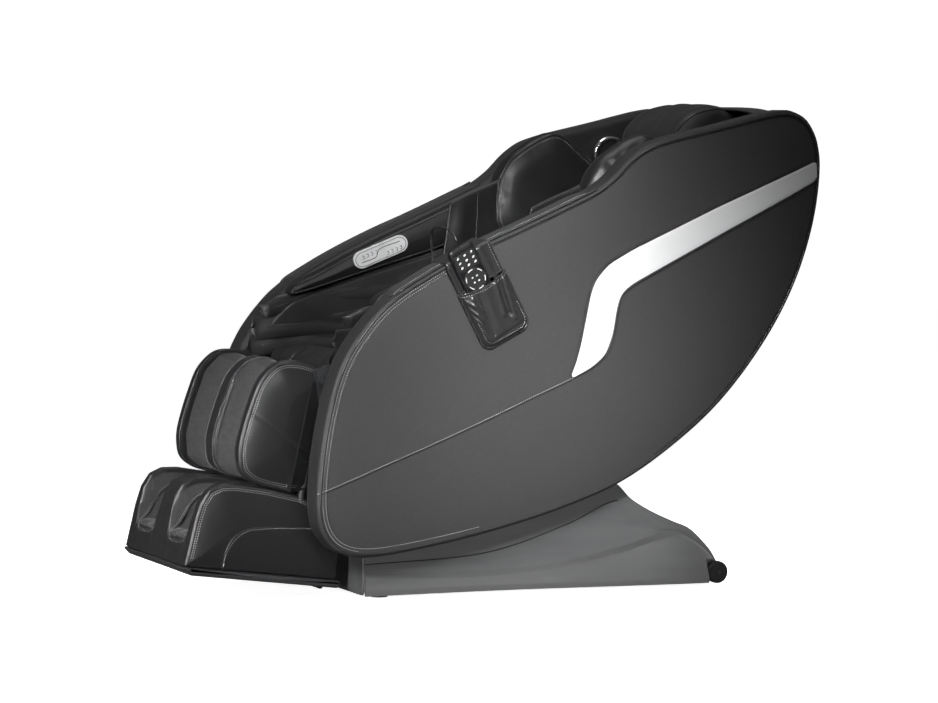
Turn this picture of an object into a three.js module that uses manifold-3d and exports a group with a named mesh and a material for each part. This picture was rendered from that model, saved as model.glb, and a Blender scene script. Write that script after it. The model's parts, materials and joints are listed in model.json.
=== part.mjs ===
// A full-body massage chair: a fixed base, a seat shell that reclines on it, a calf rest, a sliding foot rest and
// the massage carriage inside the backrest.
//
// Frame: millimetres, +Z up, the sitter faces -Y, +X is the sitter's left. The origin is on the floor, under the
// middle of the chair. All numbers below are in millimetres and degrees unless a comment says otherwise.
import * as THREE from "three";
import { mergeVertices } from "three/addons/utils/BufferGeometryUtils.js";
import Module from "manifold-3d";

const wasm = await Module();
wasm.setup();

// ---------------------------------------------------------------- driving dimensions

const GAP = 0.3; // running and mating clearance between neighbouring pieces
const PANEL_INNER_X = 281; // inner face of each side panel
const PANEL_OUTER_X = 366; // outer face of each side panel
const PAD_OUTER_X = PANEL_INNER_X - 1.5; // outer face of the pads fixed inside the side panels
const PAD_INNER_X = 232; // inner face of the arm pads and hip airbags
const SEAT_HALF_WIDTH = 228;
const BACK_HALF_WIDTH = 255;
const WING_INNER_X = 206; // inner face of the shoulder wings
const FRAME_PLATE_X = [263, 269]; // the seat frame's side plates
const COVER_X = 262; // the base covers' upper outer face
const COVER_WALL = 4; // moulded cover thickness
const RAIL_X = [216, 246]; // the base frame's long rails

const MAIN_PIVOT = { y: 90, z: 300, radius: 14 }; // the seat shell turns about this shaft
const CALF_PIVOT = { y: -405, z: 472, radius: 8 };
const CALF_TILT = -13; // the calf rest hangs this far forward of vertical
const FOOT_CORNER = { y: -358, z: 19 }; // rear bottom corner of the foot rest
const FOOT_TILT = -7.3;
const FOOT_LENGTH = 345;
const FOOT_HALF_WIDTH = 220;
const CALF_HALF_WIDTH = 230;
const BACK_CORNER = { y: 150, z: 415 }; // where the backrest surface meets the seat
const BACK_ANGLE = 53; // backrest surface above horizontal
const POCKET_MOUTH = { y: -100.5, z: 663, tilt: 27.1 }; // middle of the remote pocket's mouth
const REAR_WALL_Y = 495; // upright rear face of the base

// ---------------------------------------------------------------- materials

const finish = (color, roughness, metalness = 0) =>
  new THREE.MeshStandardMaterial({ color, roughness, metalness });

const material = {
  panelLeather: finish(0x2b2b2c, 0.6),
  padLeather: finish(0x161617, 0.42),
  silverTrim: finish(0xd9dadb, 0.32, 0.6),
  basePlastic: finish(0x4c4d4e, 0.5),
  blackPlastic: finish(0x121212, 0.4),
  paintedSteel: finish(0x202225, 0.45, 0.3),
  brightSteel: finish(0xb4b7ba, 0.3, 0.9),
  rubber: finish(0x101010, 0.85),
  chrome: finish(0xd5d6d8, 0.15, 1),
  cord: finish(0x0d0d0d, 0.55),
};

// ---------------------------------------------------------------- geometry helpers

const radians = THREE.MathUtils.degToRad;
const vec2 = ([y, z]) => new THREE.Vector2(y, z);

/** Keeps only merged positions, as booleans and lofts need. */
function bare(geometry) {
  const copy = geometry.clone();
  copy.deleteAttribute("normal");
  copy.deleteAttribute("uv");
  return mergeVertices(copy, 1e-3);
}

function solid(geometry) {
  const merged = bare(geometry);
  return new wasm.Manifold(
    new wasm.Mesh({
      numProp: 3,
      vertProperties: merged.attributes.position.array,
      triVerts: new Uint32Array(merged.index.array),
    }),
  );
}

function geometryOf(manifold) {
  const mesh = manifold.getMesh();
  const geometry = new THREE.BufferGeometry();
  geometry.setAttribute("position", new THREE.BufferAttribute(mesh.vertProperties, 3));
  geometry.setIndex(new THREE.BufferAttribute(mesh.triVerts, 1));
  return geometry;
}

const join = (...pieces) => geometryOf(pieces.map(solid).reduce((sum, piece) => sum.add(piece)));

const cut = (body, ...tools) =>
  geometryOf(tools.map(solid).reduce((rest, tool) => rest.subtract(tool), solid(body)));

/** A box between two corners. */
function block(x, y, z) {
  return new THREE.BoxGeometry(x[1] - x[0], y[1] - y[0], z[1] - z[0]).translate(
    (x[0] + x[1]) / 2,
    (y[0] + y[1]) / 2,
    (z[0] + z[1]) / 2,
  );
}

/** A cylinder along X, centred on (y, z). */
function rod(radius, x, y, z, segments = 20) {
  return new THREE.CylinderGeometry(radius, radius, x[1] - x[0], segments)
    .rotateZ(Math.PI / 2)
    .translate((x[0] + x[1]) / 2, y, z);
}

/** A cylinder between two points given as [x, y, z]. */
function rodBetween(radius, from, to, segments = 16) {
  const a = new THREE.Vector3(...from);
  const b = new THREE.Vector3(...to);
  const turn = new THREE.Quaternion().setFromUnitVectors(
    new THREE.Vector3(0, 1, 0),
    b.clone().sub(a).normalize(),
  );
  return new THREE.CylinderGeometry(radius, radius, a.distanceTo(b), segments)
    .applyQuaternion(turn)
    .translate(...a.add(b).multiplyScalar(0.5).toArray());
}

/** A (y, z) outline whose corners are rounded with the given radius. */
function roundedShape(points, radius) {
  const corners = points.map(vec2);
  const shape = new THREE.Shape();
  corners.forEach((corner, i) => {
    const before = corners[(i + corners.length - 1) % corners.length];
    const after = corners[(i + 1) % corners.length];
    const reach = Math.min(radius, corner.distanceTo(before) * 0.45, corner.distanceTo(after) * 0.45);
    const enter = corner.clone().add(before.clone().sub(corner).setLength(reach));
    const leave = corner.clone().add(after.clone().sub(corner).setLength(reach));
    if (i === 0) shape.moveTo(enter.x, enter.y);
    else shape.lineTo(enter.x, enter.y);
    shape.quadraticCurveTo(corner.x, corner.y, leave.x, leave.y);
  });
  shape.closePath();
  return shape;
}

/** A smooth closed outline through the points. */
function smoothShape(points, steps) {
  const loop = new THREE.CatmullRomCurve3(
    points.map(([y, z]) => new THREE.Vector3(y, z, 0)),
    true,
    "centripetal",
  );
  return new THREE.Shape(
    loop.getSpacedPoints(steps).slice(0, -1).map((p) => new THREE.Vector2(p.x, p.y)),
  );
}

/** Extrudes a (y, z) outline along X between x[0] and x[1], with an optional rounded rim. */
function slab(shape, x, rim = 0, rimSteps = 2, curveSegments = 3) {
  return new THREE.ExtrudeGeometry(shape, {
    depth: x[1] - x[0] - 2 * rim,
    steps: 1,
    curveSegments,
    bevelEnabled: rim > 0,
    bevelThickness: rim,
    bevelSize: rim,
    bevelOffset: -rim,
    bevelSegments: rimSteps,
  }).applyMatrix4(
    new THREE.Matrix4().makeBasis(
      new THREE.Vector3(0, 1, 0),
      new THREE.Vector3(0, 0, 1),
      new THREE.Vector3(1, 0, 0),
    ).setPosition(x[0] + rim, 0, 0),
  );
}

/** A flat bar of the given width between two (y, z) points, with round ends. */
function bar(from, to, width, x) {
  const [a, b] = [vec2(from), vec2(to)];
  const along = b.clone().sub(a);
  const angle = along.angle();
  const shape = new THREE.Shape();
  shape.absarc(a.x, a.y, width / 2, angle + Math.PI / 2, angle + Math.PI * 1.5);
  shape.absarc(b.x, b.y, width / 2, angle - Math.PI / 2, angle + Math.PI / 2);
  shape.closePath();
  return slab(shape, x, 0, 0, 4);
}

/** The closed skin through a row of sections, each a ring of [x, y, z] points in the same order. */
function loft(sections) {
  const ring = sections[0].length;
  const positions = sections.flat(2);
  const index = [];
  for (let s = 0; s < sections.length - 1; s++) {
    for (let i = 0; i < ring; i++) {
      const j = (i + 1) % ring;
      const [a, b, c, d] = [s * ring + i, s * ring + j, (s + 1) * ring + i, (s + 1) * ring + j];
      index.push(a, b, c, b, d, c);
    }
  }
  const half = ring / 2; // a thin ring is capped as a strip between its outer and inner halves
  for (const [start, flip] of [[0, false], [(sections.length - 1) * ring, true]]) {
    for (let i = 0; i < half - 1; i++) {
      const [a, b, c, d] = [start + i, start + i + 1, start + ring - 1 - i, start + ring - 2 - i];
      if (flip) index.push(a, b, d, a, d, c);
      else index.push(a, d, b, a, c, d);
    }
  }
  const geometry = new THREE.BufferGeometry();
  geometry.setAttribute("position", new THREE.Float32BufferAttribute(positions, 3));
  geometry.setIndex(index);
  return geometry;
}

/** A path moved sideways by a distance, to its right as it runs. */
function offsetPath(points, distance) {
  return points.map((point, i) => {
    const before = vec2(points[Math.max(i - 1, 0)]);
    const after = vec2(points[Math.min(i + 1, points.length - 1)]);
    const along = after.sub(before).normalize();
    return [point[0] + along.y * distance, point[1] - along.x * distance];
  });
}

/** A strip of constant thickness along a (y, z) path, extruded along X. */
function sheet(path, thickness, x) {
  const outline = [...path, ...offsetPath(path, thickness).reverse()];
  return slab(new THREE.Shape(outline.map(vec2)), x);
}

/** Straight-line interpolation in a list of [y, value] pairs. */
function at(table, y) {
  const i = Math.max(1, table.findIndex(([key]) => key >= y));
  const [[y0, v0], [y1, v1]] = [table[i - 1], table[i]];
  return v0 + ((v1 - v0) * (y - y0)) / (y1 - y0);
}

// ---------------------------------------------------------------- assembly helpers

const chair = new THREE.Group();

function add(parent, name, geometry, finishMaterial) {
  const mesh = new THREE.Mesh(geometry, finishMaterial);
  mesh.name = name;
  parent.add(mesh);
  return mesh;
}

/** Adds a left piece as given (+X) and its mirror image on the right. */
function addPair(parent, name, geometry, finishMaterial) {
  add(parent, `${name}_left`, geometry, finishMaterial);
  add(parent, `${name}_right`, geometry, finishMaterial).scale.x = -1;
}

/** A group at a (y, z) point, tilted about X. */
function tilted(y, z, degrees) {
  const group = new THREE.Group();
  group.position.set(0, y, z);
  group.rotation.x = radians(degrees);
  chair.add(group);
  return group;
}

// ---------------------------------------------------------------- base

const BASE_FRONT_Y = -319;
const RAIL_Z = [12, 42];
const AXLE = { y: 474, z: 26, radius: 5 }; // the transport wheels' stub axles, welded to the rails
const RECLINE_CLEVIS = { x: -90, y: -230, z: 70 };
const PIN_RADIUS = 6;

// The base's outline seen from the side: its top follows the seat shell, then its rear curves down to the floor.
const BASE_TOP = [
  [BASE_FRONT_Y, 98], [-200, 122], [-50, 152], [100, 190], [222, 226], [257, 221], [290, 189],
  [333, 162], [388, 136], [428, 119], [459, 92], [482, 66], [REAR_WALL_Y, 44],
];
const BASE_SEAM = [[BASE_FRONT_Y, 72], [-38, 87], [144, 139], [262, 184], [300, 160], [REAR_WALL_Y, 38]];
const BASE_CREASE = [[BASE_FRONT_Y, 51], [-46, 45], [135, 59], [269, 85], [380, 112], [440, 88], [REAR_WALL_Y, 30]];
const CREASE_FLARE = [[BASE_FRONT_Y, 5], [0, 6], [200, 12], [380, 30], [REAR_WALL_Y, 44]];
const FOOT_FLARE = [[BASE_FRONT_Y, 8], [0, 18], [200, 42], [400, 66], [450, 68], [REAR_WALL_Y, 64]];
const COVER_BOTTOM_Z = 6;

function baseFrame() {
  const rails = [-1, 1].map((side) => {
    const x = RAIL_X.map((v) => v * side).sort((a, b) => a - b);
    return join(
      block(x, [-300, 486], RAIL_Z),
      block(x, [410, 445], [0, 20]),
      rod(AXLE.radius, side > 0 ? [240, 320] : [-320, -240], AXLE.y, AXLE.z, 12),
      bar([60, 40], [MAIN_PIVOT.y, MAIN_PIVOT.z], 52, side > 0 ? [236, 246] : [-246, -236]),
      bar([150, 40], [MAIN_PIVOT.y, MAIN_PIVOT.z], 40, side > 0 ? [236, 246] : [-246, -236]),
    );
  });
  const crossTube = (y) => block([-RAIL_X[0] - 4, RAIL_X[0] + 4], [y, y + 30], RAIL_Z);
  const ear = (x) => bar([RECLINE_CLEVIS.y, 30], [RECLINE_CLEVIS.y, RECLINE_CLEVIS.z], 26, [x, x + 6]);
  const frame = join(
    ...rails,
    ...[-300, -245, 105, 400].map(crossTube),
    block([-RAIL_X[0] - 4, RAIL_X[0] + 4], [130, 405], [RAIL_Z[1] - 4, RAIL_Z[1]]),
    ear(RECLINE_CLEVIS.x - 24),
    ear(RECLINE_CLEVIS.x + 18),
  );
  return cut(
    frame,
    rod(MAIN_PIVOT.radius + GAP, [-300, 300], MAIN_PIVOT.y, MAIN_PIVOT.z, 24),
    rod(PIN_RADIUS + GAP, [-130, -50], RECLINE_CLEVIS.y, RECLINE_CLEVIS.z, 16),
  );
}

/** One moulded side cover: upright at the top, flaring out towards the floor and the rear. */
function baseSideCover() {
  const stations = [BASE_FRONT_Y, -220, -100, 0, 100, 190, 257, 290, 333, 388, 428, 459, 482, REAR_WALL_Y];
  const shell = loft(
    stations.map((y) => {
      const top = at(BASE_TOP, y);
      const crease = Math.min(at(BASE_CREASE, y), top - 14);
      const seam = Math.min(at(BASE_SEAM, y), top - 6);
      const outer = [
        [COVER_X, top],
        [COVER_X, Math.max(seam, crease + 6)],
        [COVER_X + at(CREASE_FLARE, y) * 0.6, crease + 2],
        [COVER_X + at(CREASE_FLARE, y) + 2, crease - 8],
        [COVER_X + at(FOOT_FLARE, y), COVER_BOTTOM_Z + 12],
        [COVER_X + at(FOOT_FLARE, y), COVER_BOTTOM_Z],
      ];
      const inner = outer.map(([x, z]) => [x - COVER_WALL, z]).reverse();
      return [...outer, ...inner].map(([x, z]) => [x, y, z]);
    }),
  );
  const wheelNotch = block([291, 345], [AXLE.y - 28, REAR_WALL_Y + 5], [-5, AXLE.z + 29]);
  return cut(shell, wheelNotch, rod(AXLE.radius + 2, [250, 300], AXLE.y, AXLE.z, 12));
}

function baseRearCover() {
  const path = BASE_TOP.filter(([y]) => y >= 222);
  const wall = [...path, [REAR_WALL_Y, COVER_BOTTOM_Z]];
  const halfWidth = COVER_X - COVER_WALL - 1;
  return cut(
    sheet(wall, COVER_WALL, [-halfWidth, halfWidth]),
    block([-177, -93], [REAR_WALL_Y - 10, REAR_WALL_Y + 4], [11, 36]),
  );
}

const INLET = { x: [-182, -88], z: [8, 39] };
const SWITCH = { x: [-112, -98], y: REAR_WALL_Y, z: 23.5 };

/** Mains inlet module: flange outside the rear wall, socket and switch bezel inside. */
function powerInlet() {
  const body = join(
    block(INLET.x, [REAR_WALL_Y + GAP, REAR_WALL_Y + 3], INLET.z),
    block([-176, -94], [450, REAR_WALL_Y + 1], [12, 35]),
  );
  return cut(
    body,
    block([-170, -136], [470, REAR_WALL_Y + 5], [14, 33]),
    block([SWITCH.x[0] - 1, SWITCH.x[1] + 1], [480, REAR_WALL_Y + 5], [SWITCH.z - 10, SWITCH.z + 10]),
  );
}

function powerSwitch() {
  const rocker = roundedShape(
    [
      [SWITCH.y - 6, SWITCH.z - 7.5], [SWITCH.y + 5, SWITCH.z - 7.5], [SWITCH.y + 3.5, SWITCH.z],
      [SWITCH.y + 5, SWITCH.z + 7.5], [SWITCH.y - 6, SWITCH.z + 7.5],
    ],
    1.5,
  );
  return slab(rocker, SWITCH.x);
}

function transportWheel() {
  const rim = 24;
  const profile = [[AXLE.radius + GAP, -11], [rim - 3, -11], [rim, -7], [rim, 7], [rim - 3, 11], [AXLE.radius + GAP, 11]];
  profile.push(profile[0]);
  return new THREE.LatheGeometry(profile.map(([r, h]) => new THREE.Vector2(r, h)), 24)
    .rotateZ(-Math.PI / 2)
    .translate(306, AXLE.y, AXLE.z);
}

const base = chair;
add(base, "base_frame", baseFrame(), material.paintedSteel);
addPair(base, "base_side_cover", baseSideCover(), material.basePlastic);
add(base, "base_rear_cover", baseRearCover(), material.basePlastic);
add(
  base,
  "base_front_cover",
  block([-COVER_X + 6, COVER_X - 6], [BASE_FRONT_Y - 2, BASE_FRONT_Y + 2], [COVER_BOTTOM_Z, 96]),
  material.basePlastic,
);
const frontFoot = new THREE.CylinderGeometry(14, 18, RAIL_Z[0] - GAP, 20)
  .rotateX(Math.PI / 2)
  .translate(231, -275, (RAIL_Z[0] - GAP) / 2);
addPair(base, "front_foot", frontFoot, material.rubber);
add(
  base,
  "control_box",
  join(block([-190, -25], [160, 340], [RAIL_Z[1] + GAP, 98]), block([-150, -65], [200, 300], [97, 108])),
  material.blackPlastic,
);
add(
  base,
  "air_pump",
  join(block([35, 195], [170, 330], [RAIL_Z[1] + GAP, 92]), rod(24, [55, 175], 250, 96, 16), rod(6, [174, 205], 250, 96, 10)),
  material.blackPlastic,
);
add(base, "power_inlet", powerInlet(), material.blackPlastic);
add(
  base,
  "pivot_shaft",
  rod(MAIN_PIVOT.radius, [-279, 279], MAIN_PIVOT.y, MAIN_PIVOT.z, 24),
  material.brightSteel,
);
addPair(base, "transport_wheel", transportWheel(), material.rubber);
add(base, "power_switch", powerSwitch(), material.blackPlastic);

// ---------------------------------------------------------------- drives

/**
 * A linear actuator lying along +Z from its tail pin at the origin: a tube with its motor beside it, and a rod with
 * a fork at the far end, `reach` away. The fork straddles a lug, with no pin between them.
 */
function actuator(tubeLength, reach, motorSide) {
  const tubeRadius = 17;
  const rodRadius = 8;
  const forkLength = 52;
  const body = join(
    rod(15, [-15, 15], 0, 0, 20),
    rod(PIN_RADIUS, [-26, 26], 0, 0, 16),
    rodBetween(tubeRadius, [0, 0, 8], [0, 0, tubeLength], 20),
    rodBetween(20, [0, motorSide * 38, 14], [0, motorSide * 38, 118], 20),
    block([-16, 16], motorSide > 0 ? [0, 44] : [-44, 0], [12, 40]),
  );
  const motor = cut(body, rodBetween(rodRadius + GAP, [0, 0, 40], [0, 0, tubeLength + 5], 16));
  const ear = (x) => bar([0, reach - forkLength], [0, reach], 24, x);
  const fork = join(
    rodBetween(rodRadius, [0, 0, 46], [0, 0, reach - forkLength + 2], 16),
    block([-17, 17], [-12, 12], [reach - forkLength - 12, reach - forkLength + 6]),
    ear([-17, -11]),
    ear([11, 17]),
  );
  return { motor, fork };
}

const RECLINE_LUG = { y: -200, z: 275 };

/** Adds an actuator between two (y, z) points, its tail at the first. */
function addActuator(name, x, from, to, tubeLength, motorSide) {
  const reach = Math.hypot(to.y - from.y, to.z - from.z);
  const { motor, fork } = actuator(tubeLength, reach, motorSide);
  const group = tilted(from.y, from.z, THREE.MathUtils.radToDeg(Math.atan2(from.y - to.y, to.z - from.z)));
  group.position.x = x;
  add(group, `${name}_motor`, motor, material.blackPlastic);
  add(group, `${name}_rod`, fork, material.brightSteel);
}

addActuator("recline", RECLINE_CLEVIS.x, RECLINE_CLEVIS, RECLINE_LUG, 138, -1);

const TORQUE_TUBE_RADIUS = 9; // the calf rest turns with this tube, on the calf pivot
const CALF_MOTOR_X = [52, 150];

/** The calf rest's tubular gear motor: its hollow shaft grips the torque tube that runs through it. */
function calfMotor() {
  const [inner, outer] = CALF_MOTOR_X;
  const { y, z } = CALF_PIVOT;
  const housing = join(
    rod(17, [inner, inner + 34], y, z, 24),
    rod(15, [inner + 30, outer - 8], y, z, 24),
    rod(17, [outer - 12, outer], y, z, 24),
  );
  return cut(housing, rod(TORQUE_TUBE_RADIUS + GAP, [inner - 5, outer + 5], y, z, 16));
}

add(chair, "calf_motor", calfMotor(), material.blackPlastic);

// ---------------------------------------------------------------- seat shell

const PANEL_OUTLINE = [
  [-407, 493], [-431, 417], [-448, 330], [-457, 250], [-458, 190], [-447, 145], [-423, 116], [-387, 100],
  [-340, 97], [-203, 114], [-50, 144], [100, 184], [222, 229], [341, 300], [461, 397], [576, 537], [642, 656],
  [682, 775], [697, 869], [698, 920], [686, 970], [662, 1005], [630, 1020], [590, 1017], [458, 987], [309, 953],
  [265, 935], [221, 894], [194, 865], [139, 839], [4, 780], [-70, 750], [-163, 707], [-231, 671], [-305, 625],
  [-350, 579], [-385, 534],
];
const PANEL_REAR = PANEL_OUTLINE.slice(13, 23);

const STRIPE_OUTLINE = [
  [688, 913], [450, 817], [245, 727], [190, 697], [158, 662], [147, 630], [128, 535], [117, 490], [102, 455],
  [155, 478], [188, 503], [205, 545], [214, 600], [224, 632], [250, 651], [460, 756], [690, 868],
];

// The seat frame's side plates run from the calf pivot under the seat to the main pivot and up behind the back.
const FRAME_PATH = [
  [CALF_PIVOT.y, CALF_PIVOT.z], [-345, 412], [60, 345], [MAIN_PIVOT.y, MAIN_PIVOT.z], [215, 308], [338, 348],
  [627, 732],
];
const LUG_TUBE = [RECLINE_LUG.y, 388];
const FRAME_TUBES = [FRAME_PATH[1], LUG_TUBE, FRAME_PATH[2], FRAME_PATH[5], FRAME_PATH[6]];

function seatFrame() {
  const sides = [-1, 1].flatMap((side) => {
    const x = FRAME_PLATE_X.map((v) => v * side).sort((a, b) => a - b);
    return FRAME_PATH.slice(1).map((point, i) => bar(FRAME_PATH[i], point, 40, x));
  });
  const tubes = FRAME_TUBES.map(([y, z]) => rod(12, [-FRAME_PLATE_X[1], FRAME_PLATE_X[1]], y, z, 12));
  const lug = bar(LUG_TUBE, [RECLINE_LUG.y, RECLINE_LUG.z], 24, [RECLINE_CLEVIS.x - 8, RECLINE_CLEVIS.x + 8]);
  const motorEars = [
    [CALF_MOTOR_X[0] - GAP - 6, CALF_MOTOR_X[0] - GAP],
    [CALF_MOTOR_X[1] + GAP, CALF_MOTOR_X[1] + GAP + 6],
  ].map((x) => bar(FRAME_PATH[0], FRAME_PATH[1], 22, x));
  const slats = [-140, 0, 140].map((x) => bar([-345, 426], [60, 360], 6, [x - 25, x + 25]));
  return cut(
    join(...sides, ...tubes, lug, ...motorEars, ...slats),
    rod(MAIN_PIVOT.radius + GAP, [-300, 300], MAIN_PIVOT.y, MAIN_PIVOT.z, 24),
    rod(CALF_PIVOT.radius + GAP, [-300, 300], CALF_PIVOT.y, CALF_PIVOT.z, 16),
    rod(TORQUE_TUBE_RADIUS + GAP, [-250, 250], CALF_PIVOT.y, CALF_PIVOT.z, 16),
  );
}

const ARM_PAD = [
  [-306, 608], [-294, 634], [-231, 661], [-163, 696], [-70, 739], [4, 769], [139, 828], [168, 800], [160, 750],
  [39, 706], [-101, 666], [-239, 625],
];
const HIP_AIRBAG = [
  [-372, 518], [-340, 562], [-300, 600], [-239, 620], [-101, 661], [39, 701], [150, 741], [170, 744], [232, 684],
  [310, 634], [165, 441], [60, 450], [0, 458],
];
const SHOULDER_WING = [
  [176, 755], [180, 862], [205, 908], [262, 947], [322, 972], [352, 962], [440, 885], [461, 842], [395, 749],
  [318, 648], [240, 692],
];
const SEAT_CUSHION = [[-366, 508], [-200, 478], [146, 418], [146, 352], [-200, 408], [-366, 436]];

function speaker() {
  const profile = [[0, 268], [30, 268], [34, 266], [43, 269], [44, PAD_OUTER_X], [0, PAD_OUTER_X]];
  return new THREE.LatheGeometry(profile.map(([r, h]) => new THREE.Vector2(r, h)), 28)
    .rotateZ(-Math.PI / 2)
    .translate(0, 484, 914);
}

/** Rear cover between the side panels: the panels' rear outline, moved inwards, from the base to the top. */
function backCover() {
  const edge = new THREE.SplineCurve(PANEL_REAR.map(vec2)).getPoints(18).map((p) => [p.x, p.y]);
  const start = edge.findIndex(([, z]) => z > 303);
  const inset = offsetPath(edge.slice(start), -10);
  return sheet(inset, -COVER_WALL, [-PAD_OUTER_X, PAD_OUTER_X]);
}

add(chair, "seat_frame", seatFrame(), material.paintedSteel);
addPair(
  chair,
  "side_panel",
  slab(smoothShape(PANEL_OUTLINE, 66), [PANEL_INNER_X, PANEL_OUTER_X], 9, 2),
  material.panelLeather,
);
addPair(
  chair,
  "trim_stripe",
  slab(roundedShape(STRIPE_OUTLINE, 14), [PANEL_OUTER_X + GAP, PANEL_OUTER_X + 3], 0, 0, 2),
  material.silverTrim,
);
addPair(chair, "arm_pad", slab(roundedShape(ARM_PAD, 16), [PAD_INNER_X, PAD_OUTER_X], 5, 1, 2), material.padLeather);
addPair(chair, "hip_airbag", slab(roundedShape(HIP_AIRBAG, 20), [PAD_INNER_X, PAD_OUTER_X], 10, 1, 2), material.padLeather);
addPair(
  chair,
  "shoulder_wing",
  slab(roundedShape(SHOULDER_WING, 26), [WING_INNER_X, PAD_OUTER_X], 14, 2, 2),
  material.padLeather,
);
add(chair, "seat_cushion", slab(roundedShape(SEAT_CUSHION, 34), [-SEAT_HALF_WIDTH, SEAT_HALF_WIDTH], 12, 2), material.padLeather);
addPair(chair, "speaker", speaker(), material.chrome);
add(chair, "back_cover", backCover(), material.blackPlastic);

// ---------------------------------------------------------------- backrest and massage mechanism
// In the back group, local Z runs up the backrest surface and local -Y points forward, out of the surface.

const back = tilted(BACK_CORNER.y, BACK_CORNER.z, BACK_ANGLE - 90);
const PAD_DEPTH = 60;
const TRACK = { bottom: 40, top: 620, depth: 150, inner: 96, outer: 120 };
const CARRIAGE_UP = 200; // the carriage's place along the back at rest
const WHEEL_RADIUS = 13.6;

function massageTrack() {
  const rails = [-1, 1].flatMap((side) => {
    const across = (a, b) => [side * a, side * b].sort((p, q) => p - q);
    const channel = TRACK.depth;
    return [
      block(across(TRACK.outer - 4, TRACK.outer), [channel - 18, channel + 18], [TRACK.bottom, TRACK.top]),
      block(across(TRACK.inner, TRACK.outer), [channel - 18, channel - 14.5], [TRACK.bottom, TRACK.top]),
      block(across(TRACK.inner, TRACK.outer), [channel + 14.5, channel + 18], [TRACK.bottom, TRACK.top]),
    ];
  });
  const ties = [TRACK.bottom, TRACK.top - 14].map((z) =>
    block([-TRACK.outer, TRACK.outer], [TRACK.depth + 10, TRACK.depth + 24], [z, z + 14]),
  );
  return join(...rails, ...ties);
}

function massageCarriage() {
  const body = join(
    block([-88, 88], [TRACK.depth - 14, TRACK.depth + 16], [CARRIAGE_UP - 45, CARRIAGE_UP + 45]),
    rod(16, [-60, 60], TRACK.depth + 18, CARRIAGE_UP - 20, 16),
    block([-34, 34], [TRACK.depth - 40, TRACK.depth - 10], [CARRIAGE_UP - 14, CARRIAGE_UP + 14]),
    rod(5, [-54, 54], TRACK.depth - 34, CARRIAGE_UP, 12),
  );
  return cut(body, rod(5 + GAP, [-100, 100], TRACK.depth, CARRIAGE_UP, 12));
}

const ROLLER = { x: [56, 78], radius: 18, reach: 45, depth: 88 };

function kneadingArm() {
  const pivotDepth = TRACK.depth - 34;
  const limb = (side) => bar([pivotDepth, CARRIAGE_UP], [ROLLER.depth, CARRIAGE_UP + side * ROLLER.reach], 18, [44, 52]);
  const stub = (side) => rod(4, [50, 80], ROLLER.depth, CARRIAGE_UP + side * ROLLER.reach, 10);
  return cut(join(limb(1), limb(-1), stub(1), stub(-1)), rod(5 + GAP, [40, 56], pivotDepth, CARRIAGE_UP, 12));
}

function massageRoller(side) {
  const crown = [[4 + GAP, 56], [13, 56], [17, 60], [18, 67], [17, 74], [13, 78], [4 + GAP, 78]];
  crown.push(crown[0]);
  return new THREE.LatheGeometry(crown.map(([r, h]) => new THREE.Vector2(r, h)), 16)
    .rotateZ(-Math.PI / 2)
    .translate(0, ROLLER.depth, CARRIAGE_UP + side * ROLLER.reach);
}

add(
  back,
  "backrest_pad",
  slab(roundedShape([[0, 14], [0, 756], [PAD_DEPTH, 756], [PAD_DEPTH, 14]], 26), [-BACK_HALF_WIDTH, BACK_HALF_WIDTH], 12, 2),
  material.padLeather,
);
add(back, "massage_track", massageTrack(), material.brightSteel);
add(back, "massage_carriage", massageCarriage(), material.paintedSteel);
const wheelPair = join(
  rod(5, [-112, 112], TRACK.depth, CARRIAGE_UP, 12),
  rod(WHEEL_RADIUS, [-113, -99], TRACK.depth, CARRIAGE_UP, 18),
  rod(WHEEL_RADIUS, [99, 113], TRACK.depth, CARRIAGE_UP, 18),
);
add(back, "track_wheels", wheelPair, material.blackPlastic);
addPair(back, "kneading_arm", kneadingArm(), material.brightSteel);
addPair(back, "massage_roller_upper", massageRoller(1), material.blackPlastic);
addPair(back, "massage_roller_lower", massageRoller(-1), material.blackPlastic);

// The pillow hangs from its top edge and lies against the backrest.
const PILLOW = [[-3, 562], [-66, 574], [-116, 632], [-110, 690], [-64, 744], [-3, 768]];
add(back, "headrest_pillow", slab(roundedShape(PILLOW, 34), [-150, 150], 10, 2), material.padLeather);

// ---------------------------------------------------------------- calf rest
// In the calf group, the origin is the calf pivot, local Z runs up the leg and local -Y points forward.

const calf = tilted(CALF_PIVOT.y, CALF_PIVOT.z, CALF_TILT);
const CALF_REAR_Y = -12;
const CALF_WALL = [
  [-50, 19], [-92, 7], [-123, -38], [-134, -124], [-137, -189], [-120, -238], [-82, -254], [CALF_REAR_Y, -256],
  [CALF_REAR_Y, 4], [-24, 14],
];
const CALF_DIVIDER = [
  [-50, 14], [-88, 2], [-117, -42], [-128, -124], [-131, -186], [-115, -234], [-80, -250], [CALF_REAR_Y, -252],
  [CALF_REAR_Y, 0], [-24, 10],
];
const SLIDE_X = 200; // the foot rest's slide rods
const SLIDE_Y = 26;
const SLIDE_RADIUS = 8;

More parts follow.
